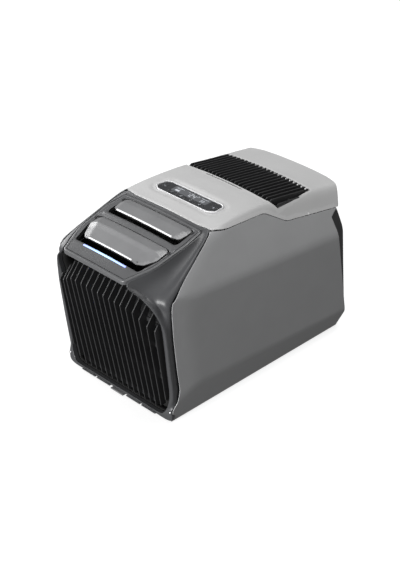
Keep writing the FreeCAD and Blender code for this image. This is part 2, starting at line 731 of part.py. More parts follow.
def motor_bridge():
    """Spider that holds the axial fan's motor under the ring."""
    x, y, z = CONDENSER_FAN
    hub = tube(27, 22.3, (x, y, z - 42), (0, 0, 1), 6)
    arms = [box(25, 73.5, y - 3, y + 3, z - 42, z - 37), box(-73.5, -25, y - 3, y + 3, z - 42, z - 37)]
    posts = [box(72, 76, y - 3, y + 3, z - 42, z + 8.8), box(-76, -72, y - 3, y + 3, z - 42, z + 8.8)]
    return fuse([hub] + arms + posts)


def compressor():
    """Upright rotary compressor with its side accumulator."""
    can = cyl(40, (-66, 12, 24), (0, 0, 1), 96)
    dome = Part.makeCone(40, 22, 14, V(-66, 12, 120), V(0, 0, 1))
    flask = cyl(14, (-10, 12, 40), (0, 0, 1), 66)
    link = box(-30, -18, 9, 15, 60, 66)
    foot = cyl(50, (-66, 12, 20), (0, 0, 1), 4)
    return fuse([can, dome, flask, link, foot])


def compressor_grommets():
    """Rubber mounts between the compressor's foot and the pan."""
    spots = [(-66 + 44 * math.cos(a), 12 + 44 * math.sin(a)) for a in (0.5, 2.6, 4.7)]
    return Part.makeCompound([cyl(6, (x, y, PAN_Z + 3), (0, 0, 1), 20 - PAN_Z - 3) for x, y in spots])


def pipe(points, radius):
    """Copper pipe along straight runs with a ball at each turn."""
    corners = [V(*p) for p in points]
    parts = [Part.makeSphere(radius, p) for p in corners[1:-1]]
    for a, b in zip(corners, corners[1:]):
        parts.append(Part.makeCylinder(radius, (b - a).Length, a, b - a))
    return fuse(parts)


def refrigerant_pipes():
    """Discharge and suction lines between compressor, condenser and evaporator."""
    discharge = pipe([(-66, 12, 134.2), (-66, 12, 150), (-113, 12, 150), (-113, 12, 240),
                      (-113, 80, 240)], 3.2)
    suction = pipe([(-10, 12, 106.2), (-10, 12, 150), (-10, -44, 150), (-10, -44, 32),
                    (116.5, -44, 32), (116.5, -150, 32), (116.5, -150, 60)], 4.0)
    return Part.makeCompound([discharge, suction])


def main_board():
    """Control and inverter board, upright beside the compressor."""
    board = box(30, 108, 20, 21.6, 26, 146)
    parts = [board]
    devices = ((44, 50, 16, 28, 22), (80, 60, 24, 24, 16), (60, 110, 30, 18, 12), (92, 120, 12, 12, 9))
    for x, z, w, h, d in devices:
        parts.append(box(x - w / 2, x + w / 2, 21, 21 + d, z - h / 2, z + h / 2))
    return fuse(parts)


def board_bracket():
    """Folded plate that stands the board on the pan."""
    return fuse([box(28, 110, 14.5, 16, 8.2, 140), box(28, 110, 14.5, 34, 8.2, 9.7)])


def bulkhead():
    """Insulated wall between the cold front and the warm rear."""
    wall = box(-122, 122, -56, -52, 9, 290).cut(box(-30, 30, -60, -50, 98, 158))
    return wall.cut(box(111, 123, -60, -50, 20, 44))


def housing_screws():
    """Cap screws in the two rear mouldings."""
    screws = []
    for x, z in REAR_SCREWS:
        y = rear_y(z) + 0.3
        screws.append(cyl(3.4, (x, y, z), (0, 1, 0), 1.4).fuse(cyl(1.7, (x, y - 12, z), (0, 1, 0), 12.2)))
    return Part.makeCompound(screws)


# ---------------------------------------------------------------- nodes
def build_nodes():
    shell = side_shell()
    bezel = front_bezel()
    nodes = {
        "base_pan": base_pan(),
        "rubber_feet": rubber_feet(),
        "side_shell_right": shell,
        "side_shell_left": mirror(shell),
        "top_cover": top_cover(),
        "front_bezel_right": bezel,
        "front_bezel_left": mirror(bezel),
        "fascia_panel": fascia_panel(),
        "light_bar": light_bar(),
        "air_chute": air_chute(),
        "front_grille": front_grille(),
        "front_filter": front_filter(),
        "grille_release_tab": release_tab(),
        "display_rim": display_rim(),
        "display_glass": display_glass(),
        "control_board": control_board(),
        "top_grille": top_grille(),
        "top_filter": top_filter(),
        "rear_panel": rear_panel(),
        "rear_skirt": rear_skirt(),
        "duct_ring_left": duct_ring(-1),
        "duct_ring_right": duct_ring(1),
        "port_guard_left": port_guard(-1),
        "port_guard_right": port_guard(1),
        "connector_tray": connector_box(),
        "ac_inlet": ac_inlet(),
        "dc_socket": dc_socket(),
        "power_flap": flap(),
        "power_flap_pin": flap_pin(),
        "drain_spout": drain_spout(),
        "drain_plug": drain_plug(),
        "evaporator_coil": finned_coil(-112, 112, -184, -152, 40, 226, True, 6.2),
        "condenser_coil": finned_coil(-108, 108, 66, 186, 226, 252, False, 6.0),
        "blower_wheel": blower_wheel(),
        "blower_housing": blower_housing(),
        "blower_motor": motor((0, -97.3 + 3, 128), (0, 1, 0), 24, 34, 44),
        "condenser_fan": condenser_fan(),
        "condenser_shroud": condenser_shroud(),
        "condenser_motor_bridge": motor_bridge(),
        "condenser_motor": motor((0, 132, 193.5), (0, 0, -1), 22, 34, 20),
        "compressor": compressor(),
        "compressor_grommets": compressor_grommets(),
        "bulkhead": bulkhead(),
        "refrigerant_pipes": refrigerant_pipes(),
        "main_board": main_board(),
        "board_bracket": board_bracket(),
        "housing_screws": housing_screws(),
    }
    for label, place in (("upper", UPPER_LOUVER), ("lower", LOWER_LOUVER)):
        nodes["louver_" + label] = louver(place)
        nodes["louver_%s_pins" % label] = louver_pins(place)
        nodes["louver_%s_brackets" % label] = louver_brackets(place)
    for name, x, hx, y, hy in key_places():
        nodes[name] = key(x, hx, y, hy)
    return nodes


os.makedirs("parts", exist_ok=True)
for node, shape in build_nodes().items():
    shape.exportStep("parts/%s.step" % node)
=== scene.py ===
import math

import bmesh
import bpy
import numpy as np
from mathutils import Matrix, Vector
from mathutils.geometry import delaunay_2d_cdt


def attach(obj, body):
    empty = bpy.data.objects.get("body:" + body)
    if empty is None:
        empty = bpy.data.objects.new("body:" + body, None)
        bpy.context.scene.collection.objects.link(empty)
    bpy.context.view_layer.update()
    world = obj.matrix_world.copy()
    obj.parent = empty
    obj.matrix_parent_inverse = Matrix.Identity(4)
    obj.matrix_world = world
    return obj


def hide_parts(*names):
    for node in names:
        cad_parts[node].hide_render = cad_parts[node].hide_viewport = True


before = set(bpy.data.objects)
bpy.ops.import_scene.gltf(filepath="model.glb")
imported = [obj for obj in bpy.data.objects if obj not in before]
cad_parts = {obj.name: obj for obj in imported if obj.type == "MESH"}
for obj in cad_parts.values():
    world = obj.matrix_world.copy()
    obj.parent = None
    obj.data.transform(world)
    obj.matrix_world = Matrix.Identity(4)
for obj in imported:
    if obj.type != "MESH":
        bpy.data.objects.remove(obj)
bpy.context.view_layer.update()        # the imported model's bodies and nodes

MM = 0.001


# ---------------------------------------------------------------- numbers shared with the CAD frame, in mm
ROOF = [(-85, 332.0), (-46, 335.5), (-8, 336.0), (48, 333.5), (262, 301.0)]
SEAM = [(-81, 328), (-52, 321), (44, 315), (92, 285), (226, 264)]
PANEL = [(-257, 288.0), (-205, 302.5), (-135, 320.0), (-85, 329.5)]
FRONT_EDGE = [(2, -204.6), (31, -205), (42, -197), (70, -193), (116, -199.5), (178, -206.5), (238, -210.8), (252.3, -208.6)]
SLANT = [(252, -209), (265, -194), (278, -174), (329, -81)]
REAR_EDGE = [(0, 238), (35, 246), (253, 206)]
UPPER = {"back": -101.0, "front": -139.0, "half_back": 84.0, "half_front": 80.0, "lip": 69.0}
LOWER = {"back": -161.0, "front": -217.0, "half_back": 88.0, "half_front": 74.0, "lip": 54.0}
PORT_X, PORT_Z, PORT_R = 66.0, 142.0, 50.0
DISPLAY_Z = 332.6


def table(pairs, at, blur=0.0):
    """Interpolation in a table, with its corners rounded over +-blur."""
    keys, values = zip(*pairs)
    at = np.asarray(at, float)
    if not blur:
        return np.interp(at, keys, values)
    return sum(np.interp(at + d, keys, values) for d in np.linspace(-blur, blur, 9)) / 9


def smin(a, b, k):
    h = np.maximum(k - np.abs(a - b), 0.0) / k
    return np.minimum(a, b) - h * h * k / 4


def smooth(t):
    t = np.clip(t, 0.0, 1.0)
    return t * t * (3 - 2 * t)


def mix(a, b, t):
    return a + (b - a) * t


# ---------------------------------------------------------------- body surface
def upper_z(x, y):
    """Height of the casing's upper surface: crowned roof, shoulder facets and slanted front strips."""
    crown = table(ROOF, y, 14) - 5.5 * (x / 112.0) ** 2
    facet = (250.5 - 0.037 * y - np.abs(x)) / 0.43
    strip = (342.0 + 0.10 * y - np.abs(x)) / 0.678
    return smin(smin(crown, facet, 15.0), strip, 6.0)


def side_x(y, z):
    """Half width of the casing at a height, creases rounded."""
    y = np.asarray(y, float)
    z = np.asarray(z, float)
    low = np.full(np.broadcast(y, z).shape, 60.0)
    high = low + 120.0
    for _ in range(26):
        mid = (low + high) / 2
        above = upper_z(mid, y) > z
        low = np.where(above, mid, low)
        high = np.where(above, high, mid)
    crease = mix(68.0, 43.0, (y + 157.0) / 373.0)
    foot = 132.0 + 16.5 * z / crease
    strip = 148.5 + 0.12 * (y + 154.0 + 0.12 * (z - 62.0))
    x = smin(low, 148.5, 4.5)
    x = smin(x, strip, 2.0)
    return smin(x, foot, 2.6)


def seam_z(y):
    return table(SEAM, y, 7)


def rear_edge(x):
    return 258.6 - 5.0 * (np.abs(x) / 98.0) ** 6.5


def rounded_box(x, y, hx, hy, r):
    """Signed distance to a rounded rectangle."""
    qx = np.abs(x) - hx + r
    qy = np.abs(y) - hy + r
    outside = np.hypot(np.maximum(qx, 0), np.maximum(qy, 0))
    return outside + np.minimum(np.maximum(qx, qy), 0) - r


def cover_z(x, y):
    z = upper_z(x, y)
    z = smin(z, 265.0 + (rear_edge(x) - y) * 9.0, 12.0)
    d = rounded_box(x, y + 28.5, 75.0, 19.0, 13.0)
    return z - 1.9 * (1 - smooth((d - 2.5) / 8.5))


def panel_z(x, y):
    return table(PANEL, y, 10) - 3.0 * (x / 100.0) ** 2


# ---------------------------------------------------------------- mesh helpers
def make(name, verts, faces, body, mat, replaces=(), toward=None, sharp=38, closed=True):
    """A piece from points in mm. toward: a direction that the open sheet's front faces."""
    me = bpy.data.meshes.new(name)
    me.from_pydata([tuple(MM * float(c) for c in v) for v in verts], [], [list(map(int, f)) for f in faces])
    bm = bmesh.new()
    bm.from_mesh(me)
    bmesh.ops.remove_doubles(bm, verts=bm.verts, dist=1e-6)
    if toward is None:
        bmesh.ops.recalc_face_normals(bm, faces=bm.faces)
    else:
        push = Vector(toward)
        if sum(f.normal.dot(push) * f.calc_area() for f in bm.faces) < 0:
            bmesh.ops.reverse_faces(bm, faces=bm.faces)
    bm.to_mesh(me)
    bm.free()
    me.polygons.foreach_set("use_smooth", [True] * len(me.polygons))
    me.set_sharp_from_angle(angle=math.radians(sharp))
    ob = bpy.data.objects.new(name, me)
    bpy.context.scene.collection.objects.link(ob)
    me.materials.append(mat)
    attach(ob, body)
    if replaces:
        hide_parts(*replaces)
    return ob


def thicken(ob, mm):
    m = ob.modifiers.new("wall", "SOLIDIFY")
    m.thickness = mm * MM
    m.offset = -1.0
    return ob


def soften(ob, mm, segments=2, angle=35):
    m = ob.modifiers.new("edges", "BEVEL")
    m.width = mm * MM
    m.segments = segments
    m.limit_method = "ANGLE"
    m.angle_limit = math.radians(angle)
    m.harden_normals = True
    m.use_clamp_overlap = True
    return ob


def grid(points):
    """Vertices and quads of a rows x cols x 3 array."""
    rows, cols = points.shape[:2]
    faces = [(i * cols + j, i * cols + j + 1, (i + 1) * cols + j + 1, (i + 1) * cols + j)
             for i in range(rows - 1) for j in range(cols - 1)]
    return points.reshape(-1, 3), faces


def ring(points):
    """As grid(), closed round the first axis."""
    return grid(np.concatenate([points, points[:1]]))


def rounded(points, radius, step=3.0):
    """Closed polygon with rounded corners, divided to about one step."""
    pts = [np.array(p, float) for p in points]
    n = len(pts)
    radii = radius if isinstance(radius, (list, tuple)) else [radius] * n
    out = []
    for i, b in enumerate(pts):
        a, c, r = pts[i - 1], pts[(i + 1) % n], radii[i]
        u, w = a - b, c - b
        lu, lw = np.linalg.norm(u), np.linalg.norm(w)
        turn = math.acos(max(-1, min(1, float(u @ w) / (lu * lw))))
        cut = min(r / max(math.tan(turn / 2), 1e-3), 0.48 * lu, 0.48 * lw)
        if r < 0.05 or cut < 0.05:
            out.append(b)
            continue
        p, q = b + u / lu * cut, b + w / lw * cut
        for t in np.linspace(0, 1, 7):
            out.append((1 - t) ** 2 * p + 2 * t * (1 - t) * b + t * t * q)
    dense = []
    for i, a in enumerate(out):
        b = out[(i + 1) % len(out)]
        length = np.linalg.norm(b - a)
        if length < 1e-3:
            continue
        k = max(1, int(round(length / step)))
        dense += [a + (b - a) * j / k for j in range(k)]
    return np.array(dense)


def inset(loop, d):
    """Offset of a closed loop towards its inside."""
    before = np.roll(loop, 1, 0)
    after = np.roll(loop, -1, 0)
    t = after - before
    t /= np.maximum(np.linalg.norm(t, axis=1), 1e-9)[:, None]
    area = np.sum(loop[:, 0] * after[:, 1] - after[:, 0] * loop[:, 1])
    normal = np.stack([-t[:, 1], t[:, 0]], 1) * (1 if area > 0 else -1)
    return loop + normal * d


def inside(points, loop):
    a = loop
    b = np.roll(loop, -1, 0)
    px, py = points[:, 0][:, None], points[:, 1][:, None]
    cross = (a[:, 1] > py) != (b[:, 1] > py)
    dy = np.where(np.abs(b[:, 1] - a[:, 1]) < 1e-12, 1e-12, b[:, 1] - a[:, 1])
    at = a[:, 0] + (py - a[:, 1]) / dy * (b[:, 0] - a[:, 0])
    return (np.sum(cross & (px < at), 1) % 2) == 1


def fill(outer, holes, xs, ys, margin=1.2):
    """Triangles of a region with holes, with a grid of points inside it."""
    loops = [outer] + list(holes)
    points = np.array([(x, y) for x in xs for y in ys])
    keep = inside(points, outer)
    for h in holes:
        keep &= ~inside(points, h)
    rim = np.concatenate(loops)
    for k in range(0, len(points), 2000):
        part = points[k:k + 2000]
        d = np.min(np.linalg.norm(part[:, None] - rim[None], axis=2), axis=1)
        keep[k:k + 2000] &= d > margin
    points = points[keep]
    edges, verts = [], []
    for loop in loops:
        start = len(verts)
        verts += [Vector(p) for p in loop]
        edges += [(start + i, start + (i + 1) % len(loop)) for i in range(len(loop))]
    verts += [Vector(p) for p in points]
    co, _, faces, *_ = delaunay_2d_cdt(verts, edges, [], 0, 1e-6)
    co = np.array([tuple(v) for v in co])
    faces = np.array([f for f in faces if len(f) == 3])
    middle = co[faces].mean(1)
    good = inside(middle, outer)
    for h in holes:
        good &= ~inside(middle, h)
    faces = faces[good]
    used = np.unique(faces)
    index = np.full(len(co), -1)
    index[used] = np.arange(len(used))
    return co[used], index[faces]


def prisms(profiles):
    """Verts and faces of flat plates: each a (closed list of 3-D points, push vector)."""
    verts, faces = [], []
    for loop, push in profiles:
        s, n = len(verts), len(loop)
        loop = [np.array(p, float) for p in loop]
        verts += loop + [p + np.array(push, float) for p in loop]
        faces.append(list(range(s, s + n)))
        faces.append(list(range(s + 2 * n - 1, s + n - 1, -1)))
        faces += [(s + i, s + n + i, s + n + (i + 1) % n, s + (i + 1) % n) for i in range(n)]
    return verts, faces


def plate_x(yz, x0, x1):
    return [(x0, y, z) for y, z in yz], (x1 - x0, 0, 0)


def block(x0, x1, y0, y1, z0, z1):
    return [(x0, y0, z0), (x1, y0, z0), (x1, y1, z0), (x0, y1, z0)], (0, 0, z1 - z0)


def lathe(profile, centre, axis, count=72):
    """Turned shape: profile of (radius, along) about an axis through centre, 'y' or 'z'."""
    angles = np.linspace(0, 2 * math.pi, count, endpoint=False)
    rows = []
    for a in angles:
        row = []
        for r, h in profile:
            u, w = r * math.cos(a), r * math.sin(a)
            row.append((u, h, w) if axis == "y" else (u, w, h))
        rows.append(row)
    return ring(np.array(rows) + np.array(centre, float))


def catmull(points, per):
    """Smooth curve through points."""
    p = np.array(points, float)
    ext = np.vstack([2 * p[0] - p[1], p, 2 * p[-1] - p[-2]])
    out = []
    for i in range(len(p) - 1):
        a, b, c, d = ext[i:i + 4]
        for t in np.linspace(0, 1, per, endpoint=False):
            out.append(0.5 * (2 * b + (c - a) * t + (2 * a - 5 * b + 4 * c - d) * t * t + (3 * b - a - 3 * c + d) * t ** 3))
    out.append(p[-1])
    return np.array(out)


# ---------------------------------------------------------------- materials
def material(name):
    mat = bpy.data.materials.new(name)
    mat.use_nodes = True
    nt = mat.node_tree
    return mat, nt, nt.nodes["Principled BSDF"]


def plastic(name, color, rough=0.5, grain=1500.0, depth=0.12, mottle=0.05, painted_edge_light=0.0, scale=18.0, metal=0.0, coat=0.0,
            spec=0.5):
    """Moulded or painted surface: fine grain, slow mottling in colour and gloss, sharp edges lightened as a painted
    highlight.
    """
    mat, nt, bsdf = material(name)
    coord = nt.nodes.new("ShaderNodeTexCoord")
    fine = nt.nodes.new("ShaderNodeTexNoise")
    fine.inputs["Scale"].default_value = grain
    fine.inputs["Detail"].default_value = 3.0
    broad = nt.nodes.new("ShaderNodeTexNoise")
    broad.inputs["Scale"].default_value = scale
    broad.inputs["Detail"].default_value = 5.0
    broad.inputs["Roughness"].default_value = 0.6
    nt.links.new(coord.outputs["Object"], fine.inputs["Vector"])
    nt.links.new(coord.outputs["Object"], broad.inputs["Vector"])
    ramp = nt.nodes.new("ShaderNodeValToRGB")
    ramp.color_ramp.elements[0].position = 0.3
    ramp.color_ramp.elements[1].position = 0.7
    ramp.color_ramp.elements[0].color = [c * (1 - mottle) for c in color] + [1]
    ramp.color_ramp.elements[1].color = [min(1, c * (1 + mottle)) for c in color] + [1]
    nt.links.new(broad.outputs["Fac"], ramp.inputs["Fac"])
    shade = ramp.outputs["Color"]
    # Painted highlight: where Pointiness marks a sharp edge, the base colour is lightened to stand in for light
    # catching the edge.
    if painted_edge_light:
        geo = nt.nodes.new("ShaderNodeNewGeometry")
        edge = nt.nodes.new("ShaderNodeMapRange")
        edge.inputs["From Min"].default_value = 0.515
        edge.inputs["From Max"].default_value = 0.6
        edge.inputs["To Max"].default_value = painted_edge_light
        nt.links.new(geo.outputs["Pointiness"], edge.inputs["Value"])
        blend = nt.nodes.new("ShaderNodeMixRGB")
        blend.inputs["Color2"].default_value = [min(1, c * 1.9 + 0.03) for c in color] + [1]
        nt.links.new(edge.outputs["Result"], blend.inputs["Fac"])
        nt.links.new(shade, blend.inputs["Color1"])
        shade = blend.outputs["Color"]
    nt.links.new(shade, bsdf.inputs["Base Color"])
    gloss = nt.nodes.new("ShaderNodeMapRange")
    gloss.inputs["From Min"].default_value = 0.3
    gloss.inputs["From Max"].default_value = 0.7
    gloss.inputs["To Min"].default_value = rough - 0.05
    gloss.inputs["To Max"].default_value = rough + 0.05
    nt.links.new(broad.outputs["Fac"], gloss.inputs["Value"])
    nt.links.new(gloss.outputs["Result"], bsdf.inputs["Roughness"])
    bump = nt.nodes.new("ShaderNodeBump")
    bump.inputs["Strength"].default_value = depth
    bump.inputs["Distance"].default_value = 0.0003
    nt.links.new(fine.outputs["Fac"], bump.inputs["Height"])
    nt.links.new(bump.outputs["Normal"], bsdf.inputs["Normal"])
    bsdf.inputs["Metallic"].default_value = metal
    bsdf.inputs["Coat Weight"].default_value = coat
    bsdf.inputs["Coat Roughness"].default_value = 0.2
    bsdf.inputs["Specular IOR Level"].default_value = spec
    return mat


def banded(name, low, high, direction, per_m, rough=0.45, metal=0.0, depth=0.3):
    """Surface with fine parallel ridges, such as fins, a weave's threads or brushing."""
    mat, nt, bsdf = material(name)
    coord = nt.nodes.new("ShaderNodeTexCoord")
    wave = nt.nodes.new("ShaderNodeTexWave")
    wave.bands_direction = direction
    wave.inputs["Scale"].default_value = per_m
    wave.inputs["Distortion"].default_value = 0.4
    wave.inputs["Detail"].default_value = 2.0
    noise = nt.nodes.new("ShaderNodeTexNoise")
    noise.inputs["Scale"].default_value = 60.0
    nt.links.new(coord.outputs["Object"], wave.inputs["Vector"])
    nt.links.new(coord.outputs["Object"], noise.inputs["Vector"])
    ramp = nt.nodes.new("ShaderNodeValToRGB")
    ramp.color_ramp.elements[0].color = list(low) + [1]
    ramp.color_ramp.elements[1].color = list(high) + [1]
    nt.links.new(wave.outputs["Fac"], ramp.inputs["Fac"])
    nt.links.new(ramp.outputs["Color"], bsdf.inputs["Base Color"])
    gloss = nt.nodes.new("ShaderNodeMapRange")
    gloss.inputs["To Min"].default_value = rough - 0.1
    gloss.inputs["To Max"].default_value = rough + 0.1
    nt.links.new(noise.outputs["Fac"], gloss.inputs["Value"])
    nt.links.new(gloss.outputs["Result"], bsdf.inputs["Roughness"])
    bump = nt.nodes.new("ShaderNodeBump")
    bump.inputs["Strength"].default_value = depth
    bump.inputs["Distance"].default_value = 0.0004
    nt.links.new(wave.outputs["Fac"], bump.inputs["Height"])
    nt.links.new(bump.outputs["Normal"], bsdf.inputs["Normal"])
    bsdf.inputs["Metallic"].default_value = metal
    return mat


def woven(name, low, high, pitch):
    """Net of crossing threads."""
    mat, nt, bsdf = material(name)
    coord = nt.nodes.new("ShaderNodeTexCoord")
    waves = []
    for direction in ("X", "Z"):
        wave = nt.nodes.new("ShaderNodeTexWave")
        wave.bands_direction = direction
        wave.inputs["Scale"].default_value = pitch
        nt.links.new(coord.outputs["Object"], wave.inputs["Vector"])
        waves.append(wave)
    high_of = nt.nodes.new("ShaderNodeMath")
    high_of.operation = "MAXIMUM"
    nt.links.new(waves[0].outputs["Fac"], high_of.inputs[0])
    nt.links.new(waves[1].outputs["Fac"], high_of.inputs[1])
    ramp = nt.nodes.new("ShaderNodeValToRGB")
    ramp.color_ramp.elements[0].position = 0.45
    ramp.color_ramp.elements[0].color = list(low) + [1]
    ramp.color_ramp.elements[1].color = list(high) + [1]
    nt.links.new(high_of.outputs["Value"], ramp.inputs["Fac"])
    nt.links.new(ramp.outputs["Color"], bsdf.inputs["Base Color"])
    bump = nt.nodes.new("ShaderNodeBump")
    bump.inputs["Distance"].default_value = 0.0004
    nt.links.new(high_of.outputs["Value"], bump.inputs["Height"])
    nt.links.new(bump.outputs["Normal"], bsdf.inputs["Normal"])
    bsdf.inputs["Roughness"].default_value = 0.75
    return mat


def glow(name, stops, reach, strength):
    """Lit diffuser whose colour changes from its middle to its ends, along X."""
    mat, nt, bsdf = material(name)
    coord = nt.nodes.new("ShaderNodeTexCoord")
    split = nt.nodes.new("ShaderNodeSeparateXYZ")
    size = nt.nodes.new("ShaderNodeMath")
    size.operation = "ABSOLUTE"
    span = nt.nodes.new("ShaderNodeMapRange")
    span.inputs["From Max"].default_value = reach
    ramp = nt.nodes.new("ShaderNodeValToRGB")
    ramp.color_ramp.elements[0].color = list(stops[0]) + [1]
    ramp.color_ramp.elements[1].color = list(stops[1]) + [1]
    nt.links.new(coord.outputs["Object"], split.inputs["Vector"])
    nt.links.new(split.outputs["X"], size.inputs[0])
    nt.links.new(size.outputs["Value"], span.inputs["Value"])
    nt.links.new(span.outputs["Result"], ramp.inputs["Fac"])
    nt.links.new(ramp.outputs["Color"], bsdf.inputs["Base Color"])
    nt.links.new(ramp.outputs["Color"], bsdf.inputs["Emission Color"])
    bsdf.inputs["Emission Strength"].default_value = strength
    bsdf.inputs["Roughness"].default_value = 0.3
    return mat


SHELL = plastic("shell_grey", (0.31, 0.312, 0.316), rough=0.52, depth=0.16, mottle=0.03)
# painted_edge_light sets how strongly each material's sharp edges carry the painted highlight.
COVER = plastic("cover_grey", (0.455, 0.455, 0.455), rough=0.5, depth=0.16, mottle=0.02, painted_edge_light=0.1)
BEZEL = plastic("bezel_dark", (0.054, 0.055, 0.058), rough=0.44, depth=0.1, mottle=0.06, painted_edge_light=0.25, spec=0.6)
FASCIA = plastic("panel_dark", (0.084, 0.085, 0.088), rough=0.34, depth=0.08, mottle=0.05, painted_edge_light=0.3, spec=0.6)
LOUVER = plastic("louver_grey", (0.175, 0.176, 0.18), rough=0.36, depth=0.08, mottle=0.05, painted_edge_light=0.25, spec=0.6)
LIP = plastic("lip_bright", (0.85, 0.85, 0.86), rough=0.22, grain=900, depth=0.05, mottle=0.03, coat=0.4)
BLACK = plastic("grille_black", (0.014, 0.014, 0.015), rough=0.42, depth=0.12, mottle=0.12, painted_edge_light=0.35)
# Painted shade: near-black, darker than any real plastic, used for wells and openings whose insides are only in
# shadow.
SHADE_BLACK = plastic("painted_shade_black", (0.004, 0.004, 0.004), rough=0.8, depth=0.2, mottle=0.2)
SLAT = plastic("slat_black", (0.02, 0.02, 0.021), rough=0.36, depth=0.1, mottle=0.1, painted_edge_light=0.9, spec=0.7)
TAB = plastic("tab_grey", (0.12, 0.12, 0.123), rough=0.4, depth=0.1, mottle=0.06, painted_edge_light=0.3)
FIN = plastic("fin_black", (0.012, 0.012, 0.013), rough=0.42, depth=0.12, mottle=0.12, painted_edge_light=0.9)
REAR = plastic("rear_black", (0.018, 0.018, 0.019), rough=0.5, depth=0.2, mottle=0.1, painted_edge_light=0.25)
RIM = plastic("rim_bright", (0.62, 0.62, 0.63), rough=0.25, grain=900, depth=0.05, mottle=0.03, coat=0.5)
GLASS = plastic("display_glass", (0.018, 0.019, 0.022), rough=0.14, grain=700, depth=0.02, mottle=0.1, coat=1.0)
SCREEN = plastic("display_screen", (0.10, 0.104, 0.112), rough=0.2, grain=2600, depth=0.04, mottle=0.1, coat=0.8)
KEY = plastic("key_dark", (0.03, 0.031, 0.034), rough=0.25, grain=900, depth=0.05, mottle=0.1, coat=0.5)
MARK = glow("mark_white", ((0.55, 0.57, 0.60), (0.48, 0.50, 0.54)), 0.08, 0.10)
LED = glow("light_blue", ((0.42, 0.68, 1.0), (0.30, 0.36, 0.85)), 0.054, 0.9)
RUBBER = plastic("rubber_black", (0.018, 0.018, 0.018), rough=0.78, grain=2200, depth=0.35, mottle=0.15, painted_edge_light=0.1)
MESH = woven("filter_mesh", (0.004, 0.004, 0.004), (0.03, 0.03, 0.032), 900.0)
COIL = banded("coil_aluminium", (0.25, 0.26, 0.27), (0.75, 0.76, 0.78), "X", 180.0, metal=0.9)
COPPER = plastic("copper", (0.62, 0.27, 0.13), rough=0.32, grain=500, depth=0.15, mottle=0.2, metal=1.0, scale=60)
STEEL = banded("steel", (0.42, 0.42, 0.43), (0.6, 0.6, 0.61), "Z", 420.0, rough=0.35, metal=1.0, depth=0.1)
BOARD = plastic("board_green", (0.02, 0.11, 0.045), rough=0.35, grain=420, depth=0.5, mottle=0.35, scale=260, coat=0.5)
PAN = plastic("pan_grey", (0.07, 0.07, 0.073), rough=0.6, depth=0.25, mottle=0.1, painted_edge_light=0.2)
PAINTED = plastic("compressor_black", (0.015, 0.015, 0.017), rough=0.3, grain=300, depth=0.2, mottle=0.2, coat=0.6)
FOAM = plastic("foam_white", (0.68, 0.68, 0.65), rough=0.85, grain=650, depth=0.8, mottle=0.06)


# ---------------------------------------------------------------- side shells
def side_shells():
    cols = 132
    t = np.linspace(0, 1, cols)
    rows = []
    for z in np.linspace(2.0, 252.3, 84):
        rear_z = z * 253.0 / 252.3
        y = mix(table(FRONT_EDGE, z, 5), table(REAR_EDGE, rear_z, 4), t)
        rows.append((y, np.full(cols, z) + (rear_z - z) * t))
    shoulder = rows[-1]
    seam_y = mix(-81.0, 226.0, t)
    seam = (seam_y, seam_z(seam_y) - 0.55)
    for k in np.linspace(0, 1, 34)[1:]:
        y, z = mix(shoulder[0], seam[0], k), mix(shoulder[1], seam[1], k)
        rows.append((y + (table(SLANT, z[0], 5) - y[0]) * (1 - t) ** 5, z))
    y = np.array([r[0] for r in rows])
    z = np.array([r[1] for r in rows])
    x = side_x(y, z)
    for s, side in ((1, "right"), (-1, "left")):
        verts, faces = grid(np.stack([s * x, y, z], 2))
        ob = make("shell_" + side, verts, faces, "chassis", SHELL, ["side_shell_" + side], (s, 0, 0.1))
        thicken(ob, 1.5)
        soften(ob, 0.6, 3, 55)


# ---------------------------------------------------------------- top cover
GRILLE_HALF = [(0.0, 64.0), (98.0, 65.0), (106.0, 68.0), (114.0, 79.0), (112.0, 120.0), (105.0, 176.5), (0.0, 178.5)]


def grille_outline(grow):
    half = GRILLE_HALF[1:-1]
    loop = half + [(-x, y) for x, y in reversed(half)]
    return inset(rounded(loop, [2, 6, 6, 20, 5] + [5, 20, 6, 6, 2], 3.0), -grow)


def top_cover():
    side_y = np.linspace(-81.0, 226.0, 110)
    zs = seam_z(side_y) + 0.55
    sx = np.array([side_from_top(y, z) for y, z in zip(side_y, zs)])
    rear_x = np.linspace(sx[-1] - 1.0, -sx[-1] + 1.0, 90)
    right = list(zip(sx, side_y))
    rear = list(zip(rear_x, rear_edge(rear_x)))
    left = [(-x, y) for x, y in reversed(right)]
    front_half = [(96.0, -82.5), (82.0, -84.5), (77.0, -86.0), (40.0, -86.2), (0.0, -86.3)]
    front = [(-x, y) for x, y in front_half] + list(reversed(front_half[:-1]))
    front = [p for a, b in zip(front, front[1:]) for p in [tuple(mix(np.array(a), np.array(b), k)) for k in (0, 0.33, 0.66)]]
    outer = np.array(right + rear + left + front)
    display = rounded(display_half(1.0), 9.0, 2.0)
    slot = rounded([(-45, 57.4), (45, 57.4), (45, 60.6), (-45, 60.6)], 1.5, 3.0)
    xs = np.concatenate([np.arange(-129, -96, 1.6), np.arange(-95, 96, 5.0), np.arange(97, 130, 1.6)])
    ys = np.concatenate([np.arange(-84, 222, 4.0), np.arange(222.5, 259, 1.3)])
    co, faces = fill(outer, [display, slot, grille_outline(0.0)], xs, ys, 1.0)
    z = cover_z(co[:, 0], co[:, 1])
    ob = make("cover_top", np.column_stack([co, z]), faces, "chassis", COVER, ["top_cover"], (0, 0, 1), 60)
    thicken(ob, 2.6)
    soften(ob, 0.8, 2, 60)


def side_from_top(y, z):
    low, high = 60.0, 150.0
    for _ in range(30):
        mid = (low + high) / 2
        if float(upper_z(mid, y)) > z:
            low = mid
        else:
            high = mid
    return low


def display_half(grow):
    """Outline of the sunken control window, grown by some mm."""
    hb, hf = 72.0 + grow, 74.0 + grow
    y0, y1, c = -47.0 - grow, -10.0 + grow, 13.0
    return [(c - hf, y0), (hf - c, y0), (hf, y0 + 0.7 * c), (hb, y1 - 0.5 * c), (hb - 0.7 * c, y1),
            (0.7 * c - hb, y1), (-hb, y1 - 0.5 * c), (-hf, y0 + 0.7 * c)]


